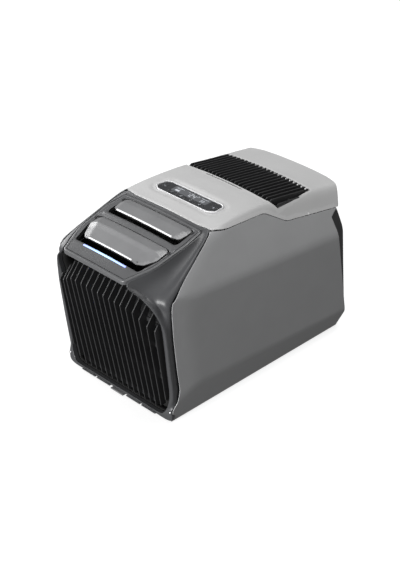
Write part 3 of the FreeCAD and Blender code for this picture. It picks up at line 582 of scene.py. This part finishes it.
# ---------------------------------------------------------------- front surround
# Per station: point beside the shell, point beside the opening or panel, and how far the middle rows stand out.
SURROUND = [((0, -86.6, 330.6), (0, -92.5, 327.4), (0, 0, 0)), ((50, -86.6, 329.6), (50, -92.5, 326.6), (0, 0, 0)),
            ((82, -86.2, 328.2), (84, -92.5, 325.2), (0, 0, 0)), ((105, -86.5, 325.2), (97.5, -95, 324), (0.2, -0.4, -0.4)),
            ((119.4, -126, 302.6), (102.5, -135, 315.5), (0.6, -3, -3)), ((134.6, -181, 272.2), (98.5, -205, 298), (0.8, -6, -7)),
            ((140.6, -210.6, 250), (83, -253.5, 283), (1.0, -7, -8)), ((140.4, -211.0, 228), (108, -243, 259), (1.2, -2.5, 2.5)),
            ((140.0, -209, 205), (124, -231, 233), (2.6, 4, 4.8)), ((139.8, -206, 178), (129.5, -221.4, 203), (4.6, 9, 6.5)),
            ((139.6, -199.5, 116), (130.5, -212, 116), (4.6, 8.5, 6)), ((139.4, -193.5, 70), (130.5, -206.5, 62), (4, 8, 5)),
            ((138.0, -197.5, 42), (128, -207.5, 36), (2, 3.5, 2.4)), ((136.4, -205, 27), (118, -209.8, 17), (2.6, 2.2, 1.2)),
            ((130.0, -205.4, 3.6), (104, -210.2, 12.6), (0.8, 1.2, 0.8)), ((66, -205.8, 3.6), (66, -210.4, 12.6), (0.4, 0.8, 0.5)),
            ((0, -205.8, 3.6), (0, -210.4, 12.6), (0.4, 0.8, 0.5))]


def front_surround():
    rows = []
    for o, n, (a, b, c) in SURROUND:
        o, n = np.array(o, float), np.array(n, float)
        out = np.array([0.42, -0.66, 0.62]) if n[2] > 250 else np.array([0.35, -0.93, 0.1])
        across = [o + (-1.4, 7.0, -0.5), o, mix(o, n, 0.13) + out * a, mix(o, n, 0.36) + out * b,
                  mix(o, n, 0.68) + out * c, n, n + (-0.6, 2.6, -0.8), n + (-1.0, 11.0, -2.0)]
        rows.append(across)
    ctrl = np.array(rows, float)
    along = np.array([catmull(ctrl[:, j], 8) for j in range(ctrl.shape[1])]).transpose(1, 0, 2)
    full = np.array([catmull(row, 4) for row in along])
    full[0, :, 0] = full[-1, :, 0] = 0.0
    flip = full[1:-1][::-1] * (-1, 1, 1)
    verts, faces = ring(np.concatenate([full, flip]))
    ob = make("front_surround", verts, faces, "chassis", BEZEL,
              ["front_bezel_right", "front_bezel_left"], (0, -1, 0.2), 50)
    thicken(ob, 1.6)
    inner = along[:, -1]
    well = []
    for k, y in ((0.0, 0.0), (0.3, 0.0), (1.0, -188.6)):
        row = inner.copy()
        row[:, 0] = np.minimum(row[:, 0], mix(140.0, 121.5, k))
        row[:, 1] = mix(inner[:, 1], -188.6, k)
        row[:, 2] = mix(inner[:, 2], np.clip(inner[:, 2], 9.5, 268.0), k)
        well.append(row)
    well = np.array(well).transpose(1, 0, 2)
    well = np.concatenate([well, well[1:-1][::-1] * (-1, 1, 1)])
    verts, faces = ring(well)
    # Painted shade: the grille well is near-black to stand for the shadowed duct behind the slats.
    thicken(make("grille_well", verts, faces, "chassis", SHADE_BLACK, toward=None), 0.8)
    loop = rounded([(-122, 9), (122, 9), (122, 268), (-122, 268)], [20, 20, 40, 40], 5.0)
    window = rounded([(-104, 38), (104, 38), (104, 208), (-104, 208)], [6, 6, 6, 6], 5.0)
    co, tri = fill(loop, [window], np.arange(-120, 121, 12.0), np.arange(12, 268, 12.0), 3.0)
    # Painted shade: a near-black back plate behind the grille stands for the shadowed interior.
    back = make("grille_well_back", np.column_stack([co[:, 0], np.full(len(co), -187.4), co[:, 1]]), tri, "chassis",
                SHADE_BLACK, toward=(0, -1, 0))
    thicken(back, 0.8)
    sill = []
    for x0, x1 in ((-98, -62), (-58, -22), (22, 58), (62, 98)):
        sill.append(block(x0, x1, -211.4, -207.5, 4.6, 6.4))
        sill.append(block(x0 + 3, x1 - 3, -211.0, -207.5, 8.2, 9.0))
    verts, faces = prisms(sill)
    soften(make("sill_steps", verts, faces, "chassis", BEZEL), 0.5)
    for s, side in ((1, "right"), (-1, "left")):
        verts, faces = lathe([(0.0, -2.2), (1.3, -2.0), (2.1, -1.3), (2.1, 1.0), (2.9, 1.4), (2.9, 3.0), (0.0, 3.0)],
                             (s * 133.4, -207.6, 24.0), "y", 24)
        make("corner_peg_" + side, verts, faces, "chassis", STEEL)


# ---------------------------------------------------------------- fascia panel
def symmetric(half):
    """Closed outline from its right-hand half, listed from the top down."""
    return list(half) + [(-x, y) for x, y in reversed(half)]


def louver_outline(place, grow, gap):
    hb, hf, yb, yf = place["half_back"] + grow, place["half_front"] + grow, place["back"] + grow, place["front"] - gap
    depth = yb - yf
    half = [(hb - 1, yb), (hb, yb - 0.42 * depth), (hf + 3 + 0.3 * gap, yf + 0.14 * depth), (hf - 6 + gap, yf)]
    return rounded(symmetric(half), [9, 22, 12, 8, 8, 12, 22, 9], 2.4)


def fascia():
    outline = rounded(symmetric([(96.5, -91.8), (101.5, -135), (97.5, -205), (77, -256.6), (30, -257.8)]),
                      [9, 80, 80, 11, 60, 60, 11, 80, 80, 9], 2.5)
    levels = ((5.2, -3.0), (4.6, 0.0), (4.1, 0.35), (1.3, 0.3), (0.4, -0.2), (0.0, -1.2), (-0.1, -4.0), (0.5, -7.6), (2.6, -7.8))
    rows = []
    for d, dz in levels:
        loop = inset(outline, d)
        front = smooth((-246.0 - outline[:, 1]) / 8.0)
        drop = np.where(dz < -3.5, dz * mix(0.75, 1.0, front), dz)
        rows.append(np.column_stack([loop, panel_z(loop[:, 0], loop[:, 1]) + drop]))
    verts, faces = ring(np.array(rows).transpose(1, 0, 2))
    make("fascia_frame", verts, faces, "chassis", FASCIA, sharp=50)
    body = inset(outline, 5.9)
    holes = [louver_outline(UPPER, 2.2, 7.0), louver_outline(LOWER, 2.2, 9.4)]
    slot = rounded([(-54.5, -231.8), (54.5, -231.8), (54.5, -227.2), (-54.5, -227.2)], 1.6, 3.0)
    co, tri = fill(body, holes + [slot], np.arange(-99, 100, 3.3), np.arange(-255, -92, 2.4), 1.0)
    x, y = co[:, 0], co[:, 1]
    z = panel_z(x, y) + 1.5 * np.exp(-((y + 150.5) / 3.6) ** 2) * smooth((93 - np.abs(x)) / 8)
    for hole in holes:
        d = np.min(np.linalg.norm(co[:, None] - hole[None], axis=2), axis=1)
        z -= 0.9 * (1 - smooth(d / 2.6))
    verts = np.column_stack([co, z])
    ob = make("fascia_top", verts, tri, "chassis", FASCIA, ["fascia_panel"], (0, 0, 1), 60)
    thicken(ob, 2.4)
    soften(ob, 0.6, 2, 60)
    for k, hole in enumerate(holes):
        rows = []
        for d, dz in ((-0.2, -1.4), (-0.2, -9.0), (0.5, -9.0), (0.5, -2.8)):
            loop = inset(hole, d)
            rows.append(np.column_stack([loop, panel_z(loop[:, 0], loop[:, 1]) + dz]))
        verts, faces = ring(np.array(rows).transpose(1, 0, 2))
        # Painted shade: the louver wells are near-black to stand for the shadowed gap under each lid's lip.
        make("louver_well_%d" % (k + 1), verts, faces, "chassis", SHADE_BLACK, sharp=50)
    light = rounded([(-53.6, -231.2), (53.6, -231.2), (53.6, -227.8), (-53.6, -227.8)], 1.6, 3.0)
    rows = []
    for d, dz in ((0.0, -4.0), (0.0, -0.2), (0.4, 0.25), (1.2, 0.45)):
        loop = inset(light, d)
        rows.append(np.column_stack([loop, panel_z(loop[:, 0], loop[:, 1]) + dz]))
    verts, faces = ring(np.array(rows).transpose(1, 0, 2))
    count = len(light)
    faces.append([4 * i + 3 for i in range(count)])
    make("light_strip", verts, faces, "chassis", LED, ["light_bar"], sharp=50)


# ---------------------------------------------------------------- louvers
def louver_z(place, x, y):
    yb, yf = place["back"], place["front"]
    chord = yb - yf
    v = np.clip((yb - y) / chord, 0, 1)
    zb = panel_z(0, yb)
    zf = panel_z(0, yf) + 4.6
    z = table([(0.0, float(zb) - 0.9), (0.07, float(zb) + 0.7), (0.36, float(zb) + 1.3), (0.52, float(mix(zb, zf, 0.42)) + 1.6),
               (1.0, float(zf) + 0.2)], v, 0.02)
    flat = mix(place["half_back"] - 9.0, place["lip"], v)
    over = np.maximum(np.abs(x) - flat, 0)
    return z - 1.4 * (np.abs(x) / 80.0) ** 2 - 0.42 * np.sqrt(over ** 2 + 4.0) + 0.84


def louver(name, place):
    hb, hf, yb, yf = place["half_back"], place["half_front"], place["back"], place["front"]
    chord = yb - yf
    half = [(hb - 2, yb + 1), (hb, yb - 0.42 * chord), (hf + 1.5, yf + 0.16 * chord), (hf - 10, yf)]
    outline = rounded(symmetric(half), [8, 20, 12, 9, 9, 12, 20, 8], 2.4)
    co, tri = fill(outline, [], np.arange(-hb, hb + 1, 3.0), np.arange(yf, yb + 1, 1.7), 0.9)
    ob = make(name + "_lid", np.column_stack([co, louver_z(place, co[:, 0], co[:, 1])]), tri, name, LOUVER,
              [name], (0, 0, 1), 60)
    thicken(ob, 2.2)
    soften(ob, 0.8, 3, 60)
    lip = []
    xs = np.linspace(-place["lip"], place["lip"], 60)
    for x in xs:
        z = float(louver_z(place, x, yf))
        lip.append([(x, yf + dy, z + dz) for dy, dz in ((2.6, 0.35), (0.6, 0.45), (-0.5, 0.1), (-0.9, -0.7), (-0.4, -1.5),
                                                         (0.6, -1.7), (2.6, -1.6))])
    verts, faces = grid(np.array(lip))
    n = 7
    faces.append(list(range(n)))
    faces.append([(len(xs) - 1) * n + j for j in reversed(range(n))])
    make(name + "_lip", verts, faces, name, LIP, sharp=50)
    plates = []
    for k in range(-4, 5):
        x = k * (place["lip"] * 2 / 9.0)
        ys = np.linspace(yf + 5, yb - 9, 6)
        top = [(y, float(louver_z(place, x, y)) - 2.0) for y in ys]
        low = [(y, z - 3.0) for y, z in reversed(top)]
        plates.append(plate_x(top + low, x - 0.6, x + 0.6))
    reach = place["half_front"] - 9.0
    zf = float(louver_z(place, 0, yf))
    plates.append(plate_x([(yf + 3.6, zf - 2.0), (yf + 5.0, zf - 2.0), (yf + 6.0, zf - 9.0), (yf + 4.6, zf - 9.0)], -reach, reach))
    verts, faces = prisms(plates)
    # Painted shade: the ribs under the lid take the same near-black shade colour.
    soften(make(name + "_ribs", verts, faces, name, SHADE_BLACK), 0.25)


# ---------------------------------------------------------------- front grille
def slat_profile(x):
    x = abs(x)
    ky = np.interp(x, [65, 94, 123], [-243.5, -240, -231])
    kz = np.interp(x, [65, 80, 94, 109, 123], [223.5, 221, 213, 203, 198])
    foot_y = np.interp(x, [90, 123], [-203.5, -208])
    foot_z = np.interp(x, [92, 109, 123], [15, 26, 46])
    rise = np.interp(x, [80, 109, 123], [31, 23, 9])
    ty, tz = ky + 0.8 * rise, kz + rise
    loop = [(foot_y, foot_z), (ky, kz), (ty, tz), (ty + 12, tz), (ky + 20, kz), (foot_y + 12, foot_z)]
    return [tuple(p) for p in rounded(loop, [2, 5, 1.5, 2, 5, 2], 40.0)]


def front_slats():
    plates = []
    for i in range(18):
        x = (i - 8.5) * 14.4
        plates.append(plate_x(slat_profile(x), x - 1.0, x + 1.0))
    verts, faces = prisms(plates)
    ob = make("front_slats", verts, faces, "front_grille", SLAT, ["front_grille"], sharp=30)
    soften(ob, 0.62, 3, 30)
    bars = []
    for z, y, reach in ((22, -196, 93), (90, -205, 122.4), (160, -216, 122.4), (208, -221, 108)):
        bars.append(block(-reach, reach, y - 1.5, y + 1.5, z - 4, z + 4))
    for x, z in ((100.8, 86), (115.2, 104), (100.8, 150)):
        bars.append(block(x - 3.0, x + 3.0, -208.5 - (z - 86) * 0.14, -204, z - 2.5, z + 2.5))
    verts, faces = prisms(bars)
    soften(make("slat_ties", verts, faces, "front_grille", BLACK), 0.5)
    xs = np.linspace(-110.5, 110.5, 46)
    zs = np.linspace(30.5, 215.5, 38)
    sheet = np.array([[(x, -190.4 + 0.25 * math.sin(x * 0.9) * math.sin(z * 0.9), z) for x in xs] for z in zs])
    verts, faces = grid(sheet)
    thicken(make("filter_net", verts, faces, "front_grille", MESH, toward=(0, -1, 0)), 0.5)
    verts, faces = prisms([plate_x([(-214.2, 3.4), (-213.6, 5.4), (-203.4, 5.4), (-203.4, 8.2), (-200.4, 8.2), (-200.4, 3.4)], -16.5, 16.5)]
                          + [block(x - 0.8, x + 0.8, -213.4, -206, 5.0, 6.1) for x in (-12, -6, 0, 6, 12)])
    soften(make("release_tab", verts, faces, "grille_tab", TAB, ["grille_release_tab"]), 0.5)


# ---------------------------------------------------------------- control window
def segments(digit, x, y, w, h, t):
    """Bars of a seven-segment figure, lying in the XY plane."""
    on = {"2": "abged", "4": "fgbc", "0": "abcdef", "6": "afgedc", "8": "abcdefg", "1": "bc"}[digit]
    place = {"a": (0, h, w, t), "d": (0, 0, w, t), "g": (0, h / 2, w, t), "f": (0, h / 2, t, h / 2), "b": (w - t, h / 2, t, h / 2),
             "e": (0, 0, t, h / 2), "c": (w - t, 0, t, h / 2)}
    return [(x + place[k][0], x + place[k][0] + place[k][2], y + place[k][1], y + place[k][1] + max(place[k][3], t)) for k in on]


def key_places():
    row = ("key_mode", "key_fan", "key_cooler", "key_warmer")
    places = [(n, -34.5 + 23.0 * i, 10.0, -38.8, 3.0) for i, n in enumerate(row)]
    return places + [("key_power", -60.5, 5.0, -29.0, 5.0), ("key_lamp", 60.5, 5.0, -29.0, 5.0)]


def control_window():
    outline = rounded(display_half(0.0), 8.0, 2.0)
    rows = []
    for d, z in ((-0.8, -3.4), (-0.8, 1.2), (-0.5, 1.6), (0.3, 1.7), (0.9, 1.3), (1.1, 0.6), (1.1, -2.0)):
        rows.append(np.column_stack([inset(outline, d), np.full(len(outline), DISPLAY_Z + z)]))
    verts, faces = ring(np.array(rows).transpose(1, 0, 2))
    make("window_rim", verts, faces, "chassis", RIM, ["display_rim"], sharp=55)
    holes = [rounded([(x - hx - 0.4, y - hy - 0.4), (x + hx + 0.4, y - hy - 0.4), (x + hx + 0.4, y + hy + 0.4), (x - hx - 0.4, y + hy + 0.4)],
                     1.6, 2.0) for _, x, hx, y, hy in key_places()]
    co, tri = fill(inset(outline, 1.5), holes, np.arange(-72, 73, 4.0), np.arange(-46, -10, 3.0), 1.0)
    ob = make("window_glass", np.column_stack([co, np.full(len(co), DISPLAY_Z)]), tri, "chassis", GLASS,
              ["display_glass"], (0, 0, 1), 60)
    thicken(ob, 1.8)
    soften(ob, 0.3, 2, 60)
    lcd = rounded([(-43, -32.5), (43, -32.5), (43, -14.5), (-43, -14.5)], 2.5, 3.0)
    rows = [np.column_stack([inset(lcd, d), np.full(len(lcd), DISPLAY_Z + z)]) for d, z in ((0, -0.4), (0, 0.12), (0.3, 0.2), (0.8, 0.22))]
    verts, faces = ring(np.array(rows).transpose(1, 0, 2))
    faces.append([4 * i + 3 for i in range(len(lcd))])
    make("window_screen", verts, faces, "chassis", SCREEN, sharp=60)
    marks = segments("2", -3.5, -29.0, 6.0, 9.6, 1.3) + segments("4", 4.6, -29.0, 6.0, 9.6, 1.3)
    marks += segments("6", 26.0, -29.5, 3.6, 6.0, 0.8) + segments("0", 31.0, -29.5, 3.6, 6.0, 0.8)
    marks += [(-38, -22, -18.6, -17.6), (-38, -28, -21.0, -20.2), (22, 38, -18.6, -17.6), (12.4, 14.2, -20.8, -19.2),
              (-36, -26, -29.4, -24.6), (-10, -7, -18.6, -17.4), (14, 17, -18.6, -17.4)]
    small = [(x - 0.55, x + 0.55, -36.0, -34.0) for x in (-34.5, -11.5, 11.5, 34.5)]
    verts, faces = prisms([block(a, b, c, d, DISPLAY_Z + 0.15, DISPLAY_Z + 0.34) for a, b, c, d in marks]
                          + [block(a, b, c, d, DISPLAY_Z - 0.1, DISPLAY_Z + 0.12) for a, b, c, d in small])
    soften(make("window_marks", verts, faces, "chassis", MARK), 0.05)
    for name, x, hx, y, hy in key_places():
        cap = rounded([(x - hx, y - hy), (x + hx, y - hy), (x + hx, y + hy), (x - hx, y + hy)], 1.4, 2.0)
        rows = [np.column_stack([inset(cap, d), np.full(len(cap), DISPLAY_Z + z)])
                for d, z in ((0.3, -1.6), (0, -1.2), (0, 0.15), (0.2, 0.4), (0.6, 0.5), (1.4, 0.42), (2.2, 0.36))]
        verts, faces = ring(np.array(rows).transpose(1, 0, 2))
        n = len(rows)
        faces.append([n * i + n - 1 for i in range(len(cap))])
        make(name + "_cap", verts, faces, name, KEY, [name], sharp=60)
        icon = [(x - 1.6, x + 1.6, y - 0.25, y + 0.25)]
        if name in ("key_warmer", "key_power"):
            icon.append((x - 0.25, x + 0.25, y - 1.6, y + 1.6))
        if name == "key_fan":
            icon += [(x - 1.6, x - 1.1, y - 1.5, y + 1.5), (x + 1.1, x + 1.6, y - 1.5, y + 1.5)]
        if name == "key_lamp":
            icon += [(x - 1.6, x + 1.6, y + 1.2, y + 1.7), (x - 1.6, x + 1.6, y - 1.7, y - 1.2)]
        verts, faces = prisms([block(a, b, c, d, DISPLAY_Z + 0.3, DISPLAY_Z + 0.56) for a, b, c, d in icon])
        soften(make(name + "_icon", verts, faces, name, MARK), 0.04)


# ---------------------------------------------------------------- top grille
def top_fins():
    plates = []
    for i in range(24):
        x = -110.4 + i * 220.8 / 23
        front = float(np.interp(abs(x), [0, 98, 106, 112], [64, 65, 68, 75])) + 1.0
        rear = float(np.interp(abs(x), [0, 105, 109, 112], [178, 176.5, 158, 120])) - 0.9
        ys = [front + 9.5] + list(np.linspace(front + 20, rear, 9))
        lift = 0.9
        top = [(y, float(upper_z(x, y)) + lift) for y in ys]
        start = float(upper_z(x, front))
        line = [(front, start - 10.0), (front, start - 6.5), (front + 8.0, top[0][1] - 0.9)] + top
        back = [(rear, top[-1][1] - 11.0), (front + 10, start - 14.0)]
        plates.append(plate_x(line + back, x - 1.05, x + 1.05))
    verts, faces = prisms(plates)
    ob = make("top_fins", verts, faces, "top_grille", FIN, ["top_grille"], sharp=30)
    soften(ob, 0.5, 2, 30)
    bars = []
    for y in (70.0, 120.0, 172.0):
        for k in range(12):
            xa, xb = -108 + k * 18.0, -108 + (k + 1) * 18.0
            z = float(upper_z((xa + xb) / 2, y)) - 8.0
            bars.append(block(xa, xb, y - 2.4, y + 2.4, z - 3.2, z))
    verts, faces = prisms(bars)
    soften(make("fin_ties", verts, faces, "top_grille", BLACK), 0.4)


# ---------------------------------------------------------------- rear
def rear_y(z):
    return table([(8, 250.0), (44, 257.5), (240, 240.0), (262, 238.0)], z, 4)


def rear_panel():
    zs = np.concatenate([np.arange(8, 260, 6.0), [261.0]])
    edge = side_x(table(REAR_EDGE, zs, 4), zs) - 3.6
    outer = np.array(list(zip(edge, zs)) + [(x, 261.0) for x in np.arange(edge[-1] - 4, -edge[-1] + 3, -5.0)]
                     + [(-x, z) for x, z in reversed(list(zip(edge, zs)))] + [(x, 8.0) for x in np.arange(-edge[0] + 4, edge[0] - 3, 5.0)])
    circle = [(math.cos(a), math.sin(a)) for a in np.linspace(0, 2 * math.pi, 72, endpoint=False)]
    holes = [np.array([(s * PORT_X + 53.4 * c, PORT_Z + 53.4 * d) for c, d in circle]) for s in (1, -1)]
    holes.append(rounded([(-111, 24), (-49, 24), (-49, 66), (-55, 66), (-55, 73), (-105, 73), (-105, 66), (-111, 66)],
                         [4, 4, 1.5, 1, 1.5, 1.5, 1, 1.5], 3.0))
    holes.append(np.array([(80 + 9.2 * c, 40 + 9.2 * d) for c, d in circle[::3]]))
    co, tri = fill(outer, holes, np.concatenate([np.arange(-146, -112, 1.8), np.arange(-112, 112, 4.0), np.arange(112, 147, 1.8)]), np.arange(10, 260, 4.0), 1.0)
    x, z = co[:, 0], co[:, 1]
    reach = np.interp(z, zs, edge)
    fall = smooth((np.abs(x) - (reach - 13)) / 13.0)
    y = rear_y(z) - 1.2 * (np.abs(x) / 130.0) ** 2
    y = mix(y, table(REAR_EDGE, z, 4) + 1.0, fall ** 2) - 2.0 * smooth((z - 250) / 11)
    for s in (1, -1):
        d = np.hypot(x - s * PORT_X, z - PORT_Z)
        y -= 2.4 * (1 - smooth((d - 60.0) / 4.0))
    for k in range(5):
        groove = np.exp(-((z - (214 + k * 7.5)) / 1.9) ** 2) * smooth((96 - np.abs(x)) / 5)
        y -= 1.6 * groove
    ob = make("rear_cover", np.column_stack([x, y, z]), tri, "chassis", REAR, ["rear_panel", "rear_skirt"], (0, 1, 0), 60)
    thicken(ob, 2.6)
    soften(ob, 0.8, 2, 60)
    for s, side in ((1, "right"), (-1, "left")):
        profile = [(50.0, 237.2), (56.2, 237.2), (56.2, 239.4), (52.9, 239.8), (52.9, 246.0), (53.8, 246.6), (53.8, 248.0),
                   (52.9, 248.6), (52.9, 257.6), (52.2, 258.6), (51.0, 258.8), (50.3, 258.2), (50.0, 257.0)]
        verts, faces = lathe(profile, (s * PORT_X, 0, PORT_Z), "y", 96)
        n = len(profile)
        faces += [(i * n, i * n + n - 1, ((i + 1) % 96) * n + n - 1, ((i + 1) % 96) * n) for i in range(96)]
        soften(make("duct_collar_" + side, verts, faces, "chassis", REAR, ["duct_ring_" + side], sharp=30), 0.3)
        lugs = []
        for a in (0.4, 2.5, 4.6):
            c, d = math.cos(a), math.sin(a)
            lugs.append(([(s * PORT_X + 52.4 * c - 5 * d, 251, PORT_Z + 52.4 * d + 5 * c), (s * PORT_X + 52.4 * c + 5 * d, 251, PORT_Z + 52.4 * d - 5 * c),
                          (s * PORT_X + 54.6 * c + 5 * d, 251, PORT_Z + 54.6 * d - 5 * c), (s * PORT_X + 54.6 * c - 5 * d, 251, PORT_Z + 54.6 * d + 5 * c)],
                         (0, 4, 0)))
        verts, faces = prisms(lugs)
        soften(make("collar_lugs_" + side, verts, faces, "chassis", REAR), 0.5)


def rear_fittings():
    ys = [(z, float(rear_y(z))) for z in np.linspace(25.5, 65.0, 12)]
    face = [(y - 0.2, z) for z, y in ys]
    back = [(y - 2.7, z) for z, y in reversed(ys)]
    plates = [plate_x(face + back, -110.4, -49.6)]
    plates += [plate_x([(y + 0.5, z), (y + 0.5, z + 1.2), (y - 0.6, z + 1.6), (y - 0.6, z - 0.4)], -94, -66)
               for z, y in ((30.0, float(rear_y(30))), (33.5, float(rear_y(33.5))), (37.0, float(rear_y(37))))]
    for x in (-104.0, -66.0):
        arm = [(251.8, 62.0), (255.0, 62.0), (255.8, 68.6), (255.0, 70.2), (253.6, 70.8), (252.0, 70.2), (251.4, 68.6)]
        plates.append(plate_x(arm, x, x + 10))
    verts, faces = prisms(plates)
    soften(make("inlet_flap", verts, faces, "power_flap", REAR, ["power_flap"]), 0.45)
    profile = [(0.0, 236.0), (4.6, 236.2), (5.6, 237.4), (5.6, 241), (5.2, 241.6), (5.6, 242.2), (5.6, 251.6), (8.2, 251.8),
               (8.4, 252.6), (8.2, 253.6), (7.2, 254.0), (2.2, 254.2), (0.0, 254.2)]
    verts, faces = lathe(profile, (80, 0, 40), "y", 48)
    make("drain_stopper", verts, faces, "drain_plug", RUBBER, ["drain_plug"], sharp=45)
    verts, faces = prisms([plate_x([(253.8, 34.6), (256.6, 35.2), (258.0, 37.0), (258.0, 43.0), (256.6, 44.8), (253.8, 45.4)], 78.6, 81.4)])
    soften(make("stopper_tab", verts, faces, "drain_plug", RUBBER), 0.6)


def feet():
    for k, (x, y) in enumerate(((108, -176), (-108, -176), (108, 206), (-108, 206))):
        profile = [(0.0, 0.0), (8.0, 0.0), (8.6, 0.7), (9.4, 0.7), (10.0, 0.0), (11.4, 0.05), (12.2, 0.9), (12.9, 4.2), (12.4, 4.9),
                   (4.0, 4.9), (3.9, 9.0), (0.0, 9.0)]
        verts, faces = lathe(profile, (x, y, 0), "z", 48)
        ob = make("foot_%d" % (k + 1), verts, faces, "chassis", RUBBER, ["rubber_feet"] if k == 0 else (), sharp=40)


# ---------------------------------------------------------------- CAD nodes that stay
def dress(mat, slot, *names):
    """A CAD node keeps its shape and gets a material."""
    for name in names:
        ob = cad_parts[name]
        ob.data.materials.clear()
        ob.data.materials.append(mat)
        ob.data.polygons.foreach_set("use_smooth", [True] * len(ob.data.polygons))
        ob.data.set_sharp_from_angle(angle=math.radians(32))


def inner_parts():
    dress(PAN, "pan_grey", "base_pan")
    dress(BLACK, "grille_black", "air_chute", "blower_wheel", "blower_housing", "condenser_fan", "condenser_shroud",
          "condenser_motor_bridge", "louver_upper_brackets", "louver_lower_brackets")
    dress(REAR, "rear_black", "port_guard_left", "port_guard_right", "connector_tray", "ac_inlet", "dc_socket", "drain_spout")
    dress(BOARD, "board_green", "control_board", "main_board")
    dress(RUBBER, "rubber_black", "compressor_grommets")
    dress(MESH, "filter_mesh", "front_filter", "top_filter")
    dress(COIL, "coil_aluminium", "evaporator_coil", "condenser_coil")
    dress(COPPER, "copper", "refrigerant_pipes")
    dress(STEEL, "steel", "louver_upper_pins", "louver_lower_pins", "power_flap_pin", "housing_screws", "blower_motor",
          "condenser_motor", "board_bracket")
    dress(PAINTED, "compressor_black", "compressor")
    dress(FOAM, "foam_white", "bulkhead")


# ---------------------------------------------------------------- camera, light and floor
def stage_and_camera():
    floor_me = bpy.data.meshes.new("floor")
    s = 9.0
    floor_me.from_pydata([(-s, -s, 0), (s, -s, 0), (s, s, 0), (-s, s, 0)], [], [(0, 1, 2, 3)])
    floor = bpy.data.objects.new("floor", floor_me)
    bpy.context.scene.collection.objects.link(floor)
    floor_me.materials.append(plastic("floor_pale", (0.3, 0.3, 0.3), rough=0.7, grain=300, depth=0.05, mottle=0.01))
    floor.visible_diffuse = False
    floor.visible_glossy = False
    shade = floor_me.materials[0].node_tree.nodes["Principled BSDF"]
    shade.inputs["Emission Color"].default_value = (1.0, 1.0, 1.0, 1.0)
    shade.inputs["Emission Strength"].default_value = 0.78
    turns, reach, top = 96, 8.8, 12.0
    circle = [(reach * math.cos(math.tau * i / turns), reach * math.sin(math.tau * i / turns)) for i in range(turns)]
    wall_me = bpy.data.meshes.new("backdrop")
    wall_me.from_pydata([(x, y, z) for z in (-0.01, top) for x, y in circle], [],
                        [((i + 1) % turns, i, turns + i, turns + (i + 1) % turns) for i in range(turns)])
    wall_me.materials.append(glow("backdrop_pale", ((0.9, 0.9, 0.9), (0.88, 0.88, 0.88)), 9.0, 1.0))
    wall = bpy.data.objects.new("backdrop", wall_me)
    bpy.context.scene.collection.objects.link(wall)
    for kind in ("diffuse", "glossy", "transmission", "shadow", "volume_scatter"):
        setattr(wall, "visible_" + kind, False)
    world = bpy.data.worlds.new("studio")
    bpy.context.scene.world = world
    world.use_nodes = True
    back = world.node_tree.nodes["Background"]
    back.inputs["Color"].default_value = (1.0, 1.0, 1.0, 1.0)
    back.inputs["Strength"].default_value = 0.2
    for name, place, size, power in (("key", (0.1, -2.95, 0.75), 1.8, 140.0), ("side", (-2.8, -0.2, 1.2), 1.6, 60.0), ("top", (0.55, 0.9, 2.7), 1.6, 52.0)):
        light = bpy.data.lights.new(name, "AREA")
        light.shape = "SQUARE"
        light.size = size
        light.energy = power
        ob = bpy.data.objects.new(name, light)
        bpy.context.scene.collection.objects.link(ob)
        ob.location = place
        ob.rotation_mode = "QUATERNION"
        ob.rotation_quaternion = (Vector((0, 0, 0.2)) - Vector(place)).to_track_quat("-Z", "Y")
    cam = bpy.data.cameras.new("camera")
    cam.lens = 87.158
    cam.sensor_width = 36.0
    cam.clip_end = 60.0
    ob = bpy.data.objects.new("camera", cam)
    bpy.context.scene.collection.objects.link(ob)
    azimuth, elevation = math.radians(45.1), math.radians(31.39)
    back = Vector((math.sin(azimuth) * math.cos(elevation), -math.cos(azimuth) * math.cos(elevation), math.sin(elevation)))
    ob.location = Vector((0, -0.001474, 0.138251)) + back * 2.548452
    ob.rotation_mode = "QUATERNION"
    ob.rotation_quaternion = (-back).to_track_quat("-Z", "Y")
    bpy.context.scene.camera = ob
    bpy.context.scene.view_settings.view_transform = "Standard"


side_shells()
top_cover()
front_surround()
fascia()
louver("louver_upper", UPPER)
louver("louver_lower", LOWER)
front_slats()
control_window()
top_fins()
rear_panel()
rear_fittings()
feet()
inner_parts()
stage_and_camera()
